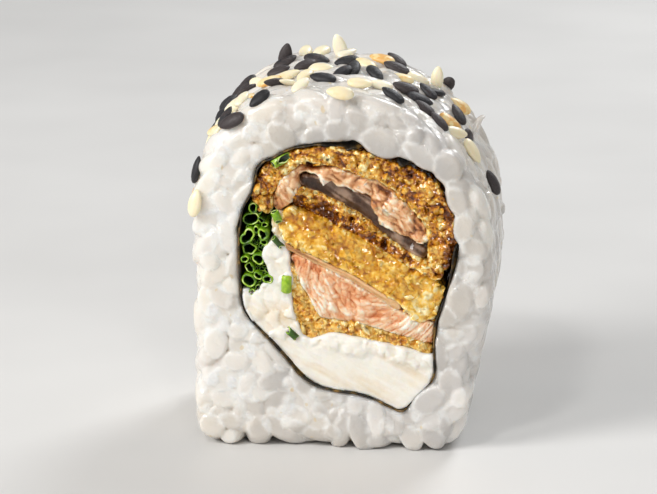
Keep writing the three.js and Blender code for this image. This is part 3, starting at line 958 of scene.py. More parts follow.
def makeRice():
    place, normal, way, faces, raisedCount, holeGap = riceSkin()
    report(f"rice core made, {len(place)} points")
    draw = np.random.default_rng(12)
    grains = Grains()
    hangGrains(grains)
    skin, outward, away = place[:raisedCount], normal[:raisedCount], way[:raisedCount]
    heights, tones = np.zeros((2, raisedCount)), np.zeros(raisedCount)
    order = draw.permutation(raisedCount)[:14000]
    packGrains(grains, skin, outward, away, order, draw, 1.0, rice["packing"], -0.15)
    raisedBy(grains, 0, skin, outward, heights, tones)
    for size, packing, lift in rice["fillers"]:
        first = grains.count
        low = np.nonzero(heights[0] < 0.55)[0]
        order = draw.permutation(low)[:6000]
        packGrains(grains, skin, outward, away, order, draw, size, packing, lift)
        raisedBy(grains, first, skin, outward, heights, tones)
    report(f"{grains.count} grains packed")
    skin = skin + outward * heights[0][:, None]
    count = len(holeGap)
    drop = edgeRound(-holeGap, 0.4) * 0.7
    skin = limited(skin)
    skin[:count, 1] += drop
    skin[count:2 * count, 1] -= drop
    place[:raisedCount] = skin
    made = newObject("rice_grains", place, faces)
    sharp = places(made.data)
    movePlaces(made.data, averaged(sharp, edgesOf(made.data), 1) * 0.3 + sharp * 0.7)
    paintRice(made.data, place, heights, tones, holeGap)
    report(f"rice raised, {len(made.data.polygons)} faces")
    return made


def riceFinish():
    material, tree, shader = newFinish(
        "cooked_rice",
        Roughness=0.27,
        Subsurface_Weight=0.85,
        Subsurface_Radius=(1.0, 0.92, 0.84),
        Subsurface_Scale=1.2 * mm,
        Transmission_Weight=0.08,
        Specular_IOR_Level=0.9,
        IOR=1.4,
    )
    broad = noiseNode(tree, 9.0, 1.0)
    broad = rangeNode(tree, broad, 0.35, 0.65, 0, 1)
    warm = mixColours(tree, broad, tint(255, 250, 242), tint(252, 250, 248))
    # The middle of a grain is clear and greyish, its rim white, partly as starch and partly as a painted
    # highlight along its edge
    perGrain = rampNode(tree, attributeValue(tree, "grain"), [
        (0.0, tint(210, 208, 206)),
        (0.35, tint(224, 222, 220)),
        (0.7, tint(236, 234, 231)),
        (1.0, tint(248, 246, 243)),
    ])
    # Painted shade: grey near the seaweed
    shadedNearNori = mathNode(tree, "MULTIPLY", attributeValue(tree, "shadeNearNori"), 0.6)
    perGrain = mixColours(tree, shadedNearNori, perGrain, tint(184, 182, 179))
    # Painted light on the left, with its milkier look: paler there
    milkAndLightShare = mathNode(tree, "MULTIPLY", attributeValue(tree, "milkAndLight"), 0.65)
    perGrain = mixColours(tree, milkAndLightShare, perGrain, tint(250, 247, 241))
    colour = mixColours(tree, 1.0, warm, perGrain, "MULTIPLY")
    # Painted highlight and starch: the seams between grains are whitened
    rimmed = mathNode(tree, "MULTIPLY", attributeValue(tree, "seam"), 0.7)
    colour = mixColours(tree, rimmed, colour, tint(255, 254, 251))
    # Painted shade: the deep creases are darkened towards beige
    creaseShadeShare = rangeNode(tree, attributeValue(tree, "creaseShade"), 0.06, 0.16, 0, 0.6)
    colour = mixColours(tree, creaseShadeShare, colour, tint(196, 186, 168))
    fleck = rangeNode(tree, noiseNode(tree, 0.8, 0.0), 0.8, 0.84, 0, 0.45)
    colour = mixColours(tree, fleck, colour, tint(232, 206, 146))
    link(tree, colour, shader.inputs["Base Color"])
    wet = rangeNode(tree, noiseNode(tree, 1.3, 2.0), 0.4, 0.62, 0.05, 0.26)
    link(tree, wet, shader.inputs["Roughness"])
    bumpy = mathNode(tree, "ADD", mathNode(tree, "MULTIPLY", attributeValue(tree, "seam"), 0.6), 0.4)
    bumpNode(tree, shader, mathNode(tree, "MULTIPLY", noiseNode(tree, 0.7, 4.0, 0.6), bumpy), 0.3)
    return material


# Where the sight line through a pixel of the photograph meets a surface, and the normal there.
def seenSpot(surface, pixelX, pixelY):
    origin, direction = rayThrough(pixelX, pixelY)
    spot, normal, _, _ = surface.ray_cast(origin, direction)
    return spot, normal


# The picture's right and up.
def pictureWays():
    turn = camera.rotation_quaternion
    return turn @ Vector((1, 0, 0)), turn @ Vector((0, 1, 0))


def surfaceOf(made):
    return bvhtree.BVHTree.FromObject(made, bpy.context.evaluated_depsgraph_get())


# A shred of rice that stands off the crown at the right, as a bent and tapered strand.
def makeShred(body):
    foot = seenSpot(surfaceOf(body), *shred["foot"])[0] / mm
    right, up = pictureWays()
    path = [foot + right * across + up * high for across, high in shred["path"]]
    last = len(path) - 1
    vertices, sides = [], 10
    for index, point in enumerate(path):
        ahead = (path[min(index + 1, last)] - path[max(index - 1, 0)]).normalized()
        aside = ahead.cross(Vector((0, 1, 0))).normalized()
        radius = shred["radius"] * math.sin(math.pi * (0.16 + 0.74 * index / last))
        for step in range(sides):
            angle = 2 * math.pi * step / sides
            inDepth = Vector((0, shred["breadth"] * radius * math.sin(angle), 0))
            vertices.append(tuple(point + aside * radius * math.cos(angle) + inDepth))
    faces = ringFaces(len(path), sides)
    faces += [tuple(range(sides))[::-1], tuple(range(last * sides, len(path) * sides))]
    made = newObject("shred", vertices, faces)
    smooth = made.modifiers.new("smooth", "SUBSURF")
    smooth.levels = smooth.render_levels = 1
    return settle(made)


riceMaterial = riceFinish()
riceBody = makeRice()
riceBody = joined("rice_grains", riceBody, makeShred(riceBody))
finishPiece(riceBody, riceMaterial, "rice", "rice")


# Seaweed sheet

nori = {
    "thickness": 0.16,
    "frontEdge": 11.9,
    "crinkle": 0.08,
    "cell": 0.3,
    "rows": 60,
    "edgeWander": 0.18,
    "lapMiddle": (-9.0, 11.5),   # where the ends lap, in X and Z of the slice
    "lapReach": 6.5,
    "lapRight": -2.0,
    "lapTop": 12.5,
    "lapGap": 0.12,
    "lapThinness": 0.6,
}
# Where the sheet stands away from the rice at its edge: X, Z, reach along the sheet, and how far
loosePlaces = [
    (-10.3, 17.0, 2.2, 0.15), (-8.2, 11.8, 2.2, 0.1), (-10.9, 23.9, 1.0, 0.3), (-8.9, 29.6, 0.9, 0.4),
    (0.3, 33.4, 2.4, 0.75), (6.0, 31.8, 2.0, 0.7), (10.9, 21.0, 2.0, 0.4), (9.9, 14.0, 1.6, 0.2),
    (-3.2, 6.3, 1.4, 0.4), (2.6, 5.4, 2.0, 0.05),
]


def noriFinish():
    material, tree, shader = newFinish(
        "seaweed", Roughness=0.45, Coat_Weight=0.12, Coat_Roughness=0.2, Specular_IOR_Level=0.35,
    )
    broad = rangeNode(tree, noiseNode(tree, 3.0, 1.0), 0.42, 0.62, -0.04, 0.14)
    blot = mathNode(tree, "ADD", noiseNode(tree, 0.9, 4.0, 0.7), broad)
    colour = rampNode(tree, blot, [
        (0.3, tint(10, 8, 5)), (0.5, tint(26, 20, 10)), (0.6, tint(72, 56, 24)), (0.72, tint(140, 106, 48)),
    ])
    link(tree, colour, shader.inputs["Base Color"])
    bumpNode(tree, shader, noiseNode(tree, 0.22, 4.0, 0.7), 0.08)
    return material


# 1 where a big grain of rice hangs over the seaweed's edge, else 0.
def underGrains(flat):
    cover = np.zeros(len(flat))
    for x, z, heading, length, width in hangingGrains:
        across, up = math.cos(math.radians(heading)), math.sin(math.radians(heading))
        apart = flat - (x + rollShift, z)
        along = (apart[:, 0] * across + apart[:, 1] * up) * 2 / length
        aside = (apart[:, 1] * across - apart[:, 0] * up) * 2 / width
        cover = np.maximum(cover, 1 - smoothStep(0.95, 1.3, np.hypot(along, aside)))
    return cover


# One crinkled sheet along a ring of points. Near the cut faces it stands off the rice and fills the
# rice's notches.
def noriSheet(ring, closed, number):
    flat = np.array([tuple(p) for p in ring])
    count = len(ring)
    hidden = underGrains(flat)
    away = bumpsOver(flat, loosePlaces) - bumpsOver(flat, notches)
    tangent = np.roll(flat, -1, axis=0) - np.roll(flat, 1, axis=0)
    tangent /= np.maximum(np.linalg.norm(tangent, axis=1), 1e-9)[:, None]
    inward = np.stack([-tangent[:, 1], np.zeros(count), tangent[:, 0]], axis=1)
    grid = []
    for row in np.linspace(-1, 1, nori["rows"]):
        along = np.column_stack([flat, np.full(count, number + (row > 0) * 5.0)])
        edge = nori["frontEdge"] - hidden + nori["edgeWander"] * softNoise(along, 0.8, 7)
        y = row * edge
        spots = np.stack([flat[:, 0], y, flat[:, 1]], axis=1)
        bulge = nori["crinkle"] * roughNoise(spots, 1.3, 3 + number, 2) + 0.02
        bulge += away * smoothStep(10.4, 11.8, np.abs(y))
        grid.append(spots + inward * bulge[:, None])
    faces = []
    for row in range(nori["rows"] - 1):
        for index in range(count if closed else count - 1):
            first, second = row * count + index, row * count + (index + 1) % count
            faces.append((first, first + count, second + count, second))
    sheet = newObject(f"sheet_{number}", np.concatenate(grid), faces)
    thick = sheet.modifiers.new("thickness", "SOLIDIFY")
    thick.thickness = nori["thickness"] * mm * (1 if closed else nori["lapThinness"])
    thick.offset = -1
    return settle(sheet)


# The sheet all the way round, with the stretch where its ends lap lying inside it.
def makeNori():
    outer = evenly(noriOutline, nori["cell"])
    lapMiddle = Vector(nori["lapMiddle"])
    lap = [
        p for p in offset(outer, -nori["thickness"] - nori["lapGap"])
        if (p - lapMiddle).length < nori["lapReach"] and p.x < nori["lapRight"] and p.y < nori["lapTop"]
    ]
    return joined("nori_sheet", noriSheet(outer, True, 0), noriSheet(lap, False, 1))


finishPiece(makeNori(), noriFinish(), "nori", "nori")
report("seaweed made")


# Crumbs of fried batter, strewn over the crusts

crumbs = {
    "sizes": (0.12, 0.17, 0.24, 0.34, 0.5),
    "spacing": 0.38,
    "smallest": 0.6,
    "largest": 1.1,
    "lean": 0.9,
    "lowest": -0.05,
    "highest": 0.06,
    "darkest": 0.12,   # no crumbs where the batter is darker than this
}


# A broken flat shard.
def shardForm(name, size, seed):
    draw = random.Random(seed)
    lump = bmesh.new()
    bmesh.ops.create_icosphere(lump, subdivisions=1, radius=1)
    long, wide, thick = draw.uniform(0.9, 1.7), draw.uniform(0.6, 1.1), draw.uniform(0.2, 0.5)
    for vertex in lump.verts:
        vertex.co *= draw.uniform(0.5, 1.3)
        vertex.co = Vector((vertex.co.x * long, vertex.co.y * wide, vertex.co.z * thick)) * size * mm
    return fromShape(name, lump)


# Relief of the fillings: each gives a height in millimetres and a tone from 0, dark, to 1, pale; the tone
# partly rises and falls with the height, as painted light on raised parts and painted shade in hollows

# Places that wander softly in three directions.
def wandering(place, size, seed):
    return np.stack([softNoise(place, size, seed + axis) for axis in range(3)], axis=1)


# Places drawn out along a direction in the cut face, for grain that runs that way.
def drawnAlong(place, heading, along, inDepth=0.2):
    flow = math.radians(heading)
    across = place[:, 0] * math.sin(flow) - place[:, 2] * math.cos(flow)
    forward = place[:, 0] * math.cos(flow) + place[:, 2] * math.sin(flow)
    return np.stack([forward * along, place[:, 1] * inDepth, across], axis=1)


# Fried batter: lumps, crumbs on them and fine crumbs on those.
def crustRelief(place, style, seed):
    warped = place + 0.35 * wandering(place, 0.9, seed + 40)
    lumps = roughNoise(place, style["lumpSize"], seed, 3, 0.55)
    near, _, pick = cellNoise(warped, style["crumbSize"], seed + 1)
    crumb = np.sqrt(np.clip(1 - (near / 0.75) ** 2, 0, 1)) * (0.25 + 0.75 * pick)
    nearFine, _, pickFine = cellNoise(warped, style["crumbSize"] * 0.42, seed + 2)
    fine = np.sqrt(np.clip(1 - (nearFine / 0.75) ** 2, 0, 1)) * (0.2 + 0.8 * pickFine)
    height = style["lump"] * lumps + style["crumb"] * (crumb - 0.4) + 0.3 * style["crumb"] * (fine - 0.4)
    # The tone rises with the lumps and crumbs: partly the batter's own blotches, partly painted shade in the
    # pits and low lumps
    tone = style["tone"] + style.get("blotchAndShade", 0.45) * lumps + 0.4 * (crumb - 0.45) + 0.3 * (fine - 0.45)
    return height, tone


# Muscle flakes: soft ridges that run one way, parted by narrow grooves.
def fleshRelief(place, style, seed):
    flow = np.radians(style["flow"] + style["fan"] * (place[:, 0] - style["fanFrom"]))
    bent = place + style["bend"] * wandering(place, 2.6, seed)
    middle = np.array([style["fanFrom"], 17.0])
    fromMiddle = bent[:, [0, 2]] - middle
    across = fromMiddle[:, 0] * np.sin(flow) - fromMiddle[:, 1] * np.cos(flow)
    along = fromMiddle[:, 0] * np.cos(flow) + fromMiddle[:, 1] * np.sin(flow)
    drawnOut = np.stack([along * style["stretch"], place[:, 1] * 0.3, across], axis=1)
    strand = softNoise(drawnOut, style["flakeWidth"], seed + 11)
    strand = strand + 0.35 * softNoise(drawnOut, style["flakeWidth"] / 2, seed + 12)
    flake = np.sqrt(np.clip(np.abs(strand) * 2.2, 0, 1))
    fibre = softNoise(drawnOut * np.array([0.6, 1, 1]), 0.24, seed + 4)
    near, second, pick = cellNoise(drawnOut * np.array([1.3, 1, 1]), style["flakeWidth"] * 0.85, seed + 14)
    lumps = roughNoise(place, 2.0, seed + 6, 3)
    parted = smoothStep(0.0, 0.22, second - near)
    height = style["ridge"] * (flake - 0.6) + 0.1 * parted + 0.05 * fibre + style["lump"] * lumps
    # The tone follows the flakes: ridges paler and grooves darker, partly the flesh's own streaks and partly
    # painted highlight and shade
    tone = style["tone"] + style["contrast"] * (flake - 0.6) + 0.2 * fibre + 0.35 * lumps
    tone = tone + 0.2 * (pick - 0.5) + 0.12 * (parted - 0.7)
    return height, tone


# Fish skin: streaks and soft folds along it.
def skinRelief(place, style, seed):
    stretched = drawnAlong(place, style["flow"], 0.18)
    streak = roughNoise(stretched, 0.45, seed, 2)
    fold = roughNoise(stretched, 1.6, seed + 3, 2)
    return 0.14 * streak + style["lump"] * fold, style["tone"] + 0.5 * streak + 0.4 * fold


# Soft cheese: broad smears, with clotted lumps near its upper rim.
def spreadRelief(place, style, seed):
    stretched = drawnAlong(place, style["flow"], 0.16)
    smear = roughNoise(stretched, 0.8, seed, 3)
    broad = roughNoise(place, 3.4, seed + 3, 2)
    near, _, pick = cellNoise(place + 0.4 * wandering(place, 1.0, seed + 5), 1.15, seed + 8)
    clot = np.sqrt(np.clip(1 - near ** 2, 0, 1)) * (0.3 + 0.7 * pick)
    zone = smoothStep(style["clotLine"][0], style["clotLine"][1], place[:, 2] + 0.2 * place[:, 0])
    streak = roughNoise(stretched, 0.28, seed + 21, 2)
    height = style["lump"] * broad + (0.12 * smear + 0.05 * streak) * (1 - zone) + 0.55 * zone * (clot - 0.3)
    return height, style["tone"] + 0.4 * smear + 0.3 * broad + 0.15 * streak + 0.3 * zone * (clot - 0.5)


# The fillings, by the node that each replaces. "recess" is how far a cut face lies under the rice's,
# "cell" the mesh's spacing, "grow" and "ragged" how far and how unevenly the outline moves out,
# "touch" how much of the gap to the seaweed is closed, and "round" the rounding of the rim. "flow" is
# a heading in degrees, "shade" how much painted shade darkens the creases, and "crumbs" how closely
# crumbs lie. Each patch is X, Z, radius, and what it adds to the tone and to the height; where a
# patch sinks, its darker tone is partly painted shade in the pocket, and where it rises, its paler
# tone is partly painted light. Each push is X, Z, reach, and how far the outline moves out there.
fillings = {
    "cream_cheese": {
        "piece": "cheese_spread", "slot": "cream_cheese", "relief": spreadRelief, "recess": 0.2,
        "cell": 0.17,
        "grow": 0.26, "ragged": 0.0, "touch": 1, "round": 0.2, "lump": 0.14, "flow": -28, "tone": 0.7,
        "clotLine": (10.0, 11.4), "shade": 1.6,
        "patches": (
            (-1.6, 11.7, 0.8, 0.2, 0.35), (0.4, 11.4, 1.0, 0.25, 0.45), (2.3, 11.2, 0.7, 0.15, 0.3),
            (4.4, 11.0, 1.0, 0.25, 0.4), (6.2, 10.6, 0.7, 0.2, 0.35), (-4.6, 12.0, 0.8, 0.1, 0.15),
            (-8.2, 21.0, 0.8, 0.1, 0.1), (-6.6, 20.6, 0.8, 0.1, 0.2), (7.8, 10.1, 0.8, 0.15, 0.25),
        ),
        "pushes": ((-6.3, 21.0, 1.0, 0.55), (-6.0, 18.6, 1.2, 0.45), (-7.3, 22.6, 0.8, 0.5)),
    },
    "cheese_lump": {
        "node": "cream_cheese", "corners": (
            (-8.0, 22.9, 0.5), (-6.7, 22.0, 0.5), (-5.6, 22.4, 0.4), (-5.9, 24.0, 0.5), (-6.3, 25.4, 0.5),
            (-7.6, 25.5, 0.5), (-8.1, 24.4, 0.5),
        ),
        "piece": "cheese_lump", "slot": "cream_cheese", "relief": crustRelief, "recess": 0.5, "cell": 0.16,
        "grow": 0.1, "ragged": 0.3, "touch": 0, "round": 0.4, "lump": 0.3, "lumpSize": 1.2, "crumb": 0.25,
        "crumbSize": 0.6, "tone": 0.1,
    },
    "upper_crust": {
        "piece": "upper_batter", "slot": "browned_crust", "relief": crustRelief, "recess": 0.3, "cell": 0.15,
        "grow": 0.12, "ragged": 0.16, "touch": 0.35, "round": 0.4, "lump": 0.46, "lumpSize": 2.4,
        "crumb": 0.32,
        "crumbSize": 0.7, "tone": 0.52, "shade": 2.8, "outerDark": 0.5, "crumbs": 1.0,
        "pushes": (
            (9.7, 20.9, 1.1, 0.9), (10.6, 22.6, 1.0, 0.5), (-3.6, 30.2, 1.2, 0.45), (-6.4, 28.2, 1.0, -0.7),
            (-7.3, 27.0, 0.8, -0.5),
        ),
        "patches": (
            (-1.0, 32.4, 1.0, 0.2, 0.15), (3.0, 31.2, 0.9, 0.12, 0.1), (-7.4, 28.7, 1.0, -0.1, 0),
            (-7.9, 26.3, 0.8, -0.12, 0), (9.8, 22.2, 1.1, -0.12, 0.1), (8.3, 28.0, 1.2, 0.1, 0.15),
            (10.2, 25.2, 0.9, 0.1, 0.1), (-6.9, 31.0, 1.0, 0.0, -0.4),
        ),
    },
    "upper_salmon": {
        "piece": "upper_flesh", "slot": "pale_flesh", "relief": fleshRelief, "recess": 0.5, "cell": 0.15,
        "grow": 0.2, "ragged": 0.34, "touch": 0, "round": 0.5, "lump": 0.5, "ridge": 0.2, "flakeWidth": 1.1,
        "stretch": 0.6, "flow": -40, "fan": 0.0, "fanFrom": 0.0, "bend": 0.9, "tone": 0.52, "contrast": 0.5,
        "patches": (
            (-2.4, 29.3, 0.6, 0.25, 0.35), (-3.9, 30.2, 0.6, -0.15, -0.1), (-0.6, 30.2, 0.6, 0.2, 0.25),
            (1.2, 29.4, 0.5, -0.2, -0.3), (5.6, 25.9, 1.3, -0.04, 0.4), (3.3, 27.4, 0.9, 0.16, 0.25),
            (7.8, 23.6, 0.9, -0.2, 0), (-6.4, 27.8, 1.2, 0.0, 0.3), (4.4, 27.9, 0.5, -0.2, -0.3),
        ),
        "crumbs": 0.5,
        "pushes": (
            (-2.3, 28.9, 0.55, 1.0), (-3.4, 30.8, 1.3, -0.5), (-0.9, 29.2, 0.5, 0.35), (4.3, 25.6, 0.8, 0.2),
            (-6.6, 28.6, 1.3, 0.6), (-7.4, 27.0, 0.8, 0.4),
        ),
    },
    "upper_skin": {
        "piece": "upper_fish_skin", "slot": "grey_skin", "relief": skinRelief, "recess": 1.3, "cell": 0.15,
        "grow": 0.25, "ragged": 0.0, "touch": 0, "round": 0.2, "lump": 0.22, "flow": -33, "tone": 0.5,
        "patches": (
            (-4.4, 28.9, 0.8, -0.2, 0.3), (-0.2, 28.2, 1.6, 0.15, 0), (2.4, 26.4, 1.0, 0.2, 0.1),
            (5.4, 23.2, 0.8, 0.25, 0.4), (7.4, 21.6, 0.9, 0.2, 0.5), (4.0, 24.6, 0.6, -0.2, -0.1),
        ),
        "pushes": ((8.4, 22.0, 0.9, 0.9), (-4.6, 30.0, 0.6, -0.3)),
    },
    "middle_crust": {
        "piece": "middle_batter", "slot": "browned_crust", "relief": crustRelief, "recess": 0.3,
        "cell": 0.14,
        "grow": 0.12, "ragged": 0.2, "touch": 0, "round": 0.3, "lump": 0.48, "lumpSize": 1.7, "crumb": 0.32,
        "crumbSize": 0.58, "tone": 0.42, "shade": 2.6, "crumbs": 1.0,
        "pushes": ((9.2, 19.6, 0.9, 0.5),),
        "patches": (
            (-5.6, 26.3, 1.0, -0.45, -0.8), (-3.6, 25.9, 1.2, -0.5, -1.0), (-1.6, 24.9, 1.2, -0.5, -1.0),
            (0.6, 24.0, 1.0, -0.4, -0.7), (2.6, 22.7, 0.8, -0.3, -0.5), (-3.4, 27.2, 0.8, 0.15, 0.2),
            (1.3, 25.4, 0.8, 0.2, 0.2), (0.7, 24.9, 0.4, -0.4, -0.8), (4.1, 22.4, 0.5, -0.35, -0.8),
            (2.6, 24.0, 0.7, 0.12, 0.2), (6.6, 21.1, 0.6, -0.3, -0.6), (8.6, 20.0, 0.8, 0.15, 0.3),
        ),
    },
    "lower_crust_top": {
        "piece": "golden_batter", "slot": "golden_crust", "relief": crustRelief, "recess": 0.2, "cell": 0.15,
        "grow": 0.12, "ragged": 0.12, "touch": 0.6, "round": 0.4, "lump": 0.2, "lumpSize": 2.4,
        "crumb": 0.14,
        "crumbSize": 0.8, "tone": 0.49, "shade": 2.4, "crumbs": 0.5, "blotchAndShade": 0.15,
        "patches": (
            (-6.3, 23.4, 1.0, 0.4, 0.05), (-5.0, 22.3, 0.6, 0.35, 0.0), (-3.6, 21.6, 0.5, 0.25, 0.0),
            (-4.0, 23.6, 0.9, -0.05, 0.1), (-3.4, 25.4, 0.7, -0.2, -0.7),
            (-1.2, 24.4, 0.6, -0.2, -0.6), (-1.0, 21.4, 1.2, -0.05, 0), (8.3, 17.0, 1.6, 0.3, 0.2),
            (7.4, 15.2, 1.1, 0.3, 0.15), (9.9, 19.4, 0.8, -0.5, -0.9), (4.6, 19.4, 0.9, 0.12, 0.1),
            (7.2, 19.9, 0.5, -0.35, -0.6),
        ),
    },
    "lower_skin": {
        "piece": "lower_fish_skin", "slot": "tan_skin", "relief": skinRelief, "recess": 0.3, "cell": 0.14,
        "grow": 0.1, "ragged": 0.05, "touch": 0, "round": 0.1, "lump": 0.08, "flow": -28, "tone": 0.5,
        "patches": ((-5.4, 21.6, 1.2, -0.3, 0), (3.6, 16.9, 1.0, -0.15, 0), (-1.4, 19.4, 0.8, -0.1, 0)),
        "pushes": ((5.6, 15.8, 0.8, 0.35),),
    },
    "lower_salmon": {
        "piece": "lower_flesh", "slot": "salmon", "relief": fleshRelief, "recess": 0.3, "cell": 0.13,
        "grow": 0.22, "ragged": 0.16, "touch": 0.8, "round": 0.35, "lump": 0.24, "ridge": 0.16,
        "flakeWidth": 0.52,
        "stretch": 0.26, "flow": -76, "fan": 5.0, "fanFrom": -4.0, "bend": 0.6, "tone": 0.47,
        "contrast": 0.22,
        "patches": (
            (-5.2, 20.7, 0.9, -0.35, -0.3), (-3.0, 19.7, 0.6, -0.2, -0.1), (-2.2, 15.3, 0.9, 0.25, 0.15),
            (3.0, 14.4, 1.0, -0.12, -0.1), (6.2, 13.6, 0.9, 0.3, 0.25), (8.0, 13.0, 0.9, 0.25, 0.2),
            (0.6, 16.2, 0.9, -0.15, -0.15),
        ),
    },
    "lower_crust_base": {
        "piece": "base_batter", "slot": "pale_crust", "relief": crustRelief, "recess": 0.3, "cell": 0.14,
        "grow": 0.12, "ragged": 0.24, "touch": 0.6, "round": 0.3, "lump": 0.3, "lumpSize": 1.4,
        "crumb": 0.28,
        "crumbSize": 0.6, "tone": 0.5, "crumbs": 0.9,
        "patches": (
            (-5.0, 16.2, 1.0, -0.12, 0), (-5.2, 18.6, 0.8, 0.1, 0), (-4.2, 13.4, 0.8, -0.05, 0),
            (2.5, 13.1, 1.4, 0.12, 0), (7.4, 11.4, 1.2, 0.08, 0.1),
        ),
    },
}


# Turns the surface by small flat facets, each its own way, as on broken glassy crumbs.
def facets(tree, shader, sizes, tilt):
    normal = addNode(tree, "ShaderNodeNewGeometry").outputs["Normal"]
    for size in sizes:
        cells = addNode(tree, "ShaderNodeTexVoronoi", {
            "Vector": objectPlace(tree), "Scale": 1 / (size * mm),
        })
        centred = addNode(tree, "ShaderNodeVectorMath", {
            0: cells.outputs["Color"], 1: (0.5, 0.5, 0.5),
        }, operation="SUBTRACT")
        scaled = addNode(tree, "ShaderNodeVectorMath", {
            0: centred.outputs[0], "Scale": tilt,
        }, operation="SCALE")
        normal = addNode(tree, "ShaderNodeVectorMath", {0: normal, 1: scaled.outputs[0]}).outputs[0]
    straight = addNode(tree, "ShaderNodeVectorMath", {0: normal}, operation="NORMALIZE")
    link(tree, straight.outputs[0], shader.inputs["Normal"])


def crustFinish(name, stops, facetSizes=(0.5, 0.24), tilt=1.1, mottle=0.18, shine=0.85):
    material, tree, shader = newFinish(
        name,
        Roughness=0.2,
        Subsurface_Weight=0.2,
        Subsurface_Radius=(1.0, 0.75, 0.45),
        Subsurface_Scale=0.3 * mm,
        Specular_IOR_Level=shine,
        IOR=1.5,
    )
    mottled = mottledTone(tree, 0.55, 4.0, 0.65, mottle)
    link(tree, rampNode(tree, mottled, stops), shader.inputs["Base Color"])
    oily = rangeNode(tree, noiseNode(tree, 0.8, 2.0), 0.35, 0.65, 0.05, 0.2)
    link(tree, oily, shader.inputs["Roughness"])
    facets(tree, shader, facetSizes, tilt)
    return material


def softFinish(name, stops, roughness, grainSize=0.6, scatterSize=0.9, bump=0.05, radius=(1.0, 0.55, 0.4)):
    material, tree, shader = newFinish(
        name,
        Roughness=0.35,
        Subsurface_Weight=0.6,
        Subsurface_Radius=radius,
        Subsurface_Scale=scatterSize * mm,
        Coat_Weight=0.3,
        Coat_Roughness=0.15,
        IOR=1.42,
    )
    mottled = mottledTone(tree, grainSize, 3.0, 0.55, 0.1)
    link(tree, rampNode(tree, mottled, stops), shader.inputs["Base Color"])
    wet = rangeNode(tree, noiseNode(tree, 1.1, 2.0), 0.35, 0.65, *roughness)
    link(tree, wet, shader.inputs["Roughness"])
    bumpNode(tree, shader, noiseNode(tree, 0.25, 3.0), bump)
    return material


finishes = {
    "browned_crust": crustFinish("browned_batter", [
        (0.02, tint(96, 44, 4)), (0.24, tint(160, 88, 8)), (0.47, tint(214, 142, 32)),
        (0.7, tint(250, 196, 84)), (0.95, tint(255, 236, 172)),
    ]),
    "golden_crust": crustFinish("golden_batter_finish", [
        (0.02, tint(128, 66, 4)), (0.25, tint(186, 114, 10)), (0.48, tint(224, 162, 38)),
        (0.72, tint(246, 202, 92)), (0.98, tint(254, 238, 186)),
    ], facetSizes=(0.8, 0.3), tilt=0.7, mottle=0.1, shine=0.75),
    "pale_crust": crustFinish("pale_batter", [
        (0.02, tint(150, 80, 10)), (0.28, tint(214, 140, 36)), (0.5, tint(246, 190, 82)),
        (0.75, tint(255, 218, 130)), (0.98, tint(255, 242, 196)),
    ]),
    "salmon": softFinish("cooked_salmon", [
        (0.02, tint(198, 104, 46)), (0.28, tint(228, 154, 102)), (0.5, tint(238, 184, 140)),
        (0.75, tint(249, 214, 180)), (1.0, tint(255, 244, 230)),
    ], roughness=(0.14, 0.34)),
    "pale_flesh": softFinish("pale_cooked_salmon", [
        (0.02, tint(112, 58, 24)), (0.3, tint(188, 124, 74)), (0.52, tint(222, 166, 116)),
        (0.75, tint(242, 202, 160)), (1.0, tint(255, 238, 218)),
    ], roughness=(0.14, 0.34)),
    "grey_skin": softFinish("grey_fish_skin", [
        (0.02, tint(34, 16, 6)), (0.35, tint(58, 35, 20)), (0.65, tint(92, 66, 48)),
        (0.95, tint(172, 146, 126)),
    ], roughness=(0.08, 0.22), scatterSize=0.4),
    "tan_skin": softFinish("tan_fish_skin", [
        (0.05, tint(150, 96, 52)), (0.5, tint(214, 164, 108)), (0.95, tint(238, 202, 158)),
    ], roughness=(0.2, 0.35), scatterSize=0.4),
    "cream_cheese": softFinish("cream_cheese_finish", [
        (0.05, tint(226, 200, 152)), (0.4, tint(241, 229, 209)), (0.8, tint(250, 243, 232)),
    ], grainSize=0.9, roughness=(0.2, 0.42), scatterSize=1.0, bump=0.03, radius=(1.0, 0.85, 0.65)),
}


# Batter is browner towards the seaweed.
def outerDarkening(flat, strength):
    inward = -gapTo(flat, evenly(noriOutline, 0.6))[0]
    return strength * (1 - smoothStep(0.2, 1.8, inward))


# Points near the seaweed move out to lie against it.
def meetingSeaweed(rim, touch):
    flat = np.array([tuple(p) for p in rim])
    gap, way = gapTo(flat, evenly(noriOutline, 0.5))
    inward = -gap
    share = touch * (1 - smoothStep(0.75, 1.1, inward))
    moved = flat + way * (share * (inward - 0.2 - bumpsOver(flat, loosePlaces)))[:, None]
    return [Vector(tuple(p)) for p in moved]


# A filling's rim: its outline, grown, roughened and pushed, and drawn to the seaweed.
def fillingRim(node, style, seed):
    if "corners" in style:
        plain = roundedOutline([(x + rollShift, z, radius) for x, z, radius in style["corners"]])
    else:
        plain = outlineOf(node)
    outline = softened(evenly(plain, style["cell"]), 1)
    spots = np.array([(p.x, 0, p.y) for p in outline])
    ragged = style["grow"] + style["ragged"] * roughNoise(spots, 0.7, seed + 60, 2)
    for x, z, reach, far in style.get("pushes", ()):
        away = np.hypot(spots[:, 0] - x - rollShift, spots[:, 2] - z)
        ragged = ragged + far * np.exp(-(away / reach) ** 2)
    return meetingSeaweed(offset(outline, ragged), style["touch"])


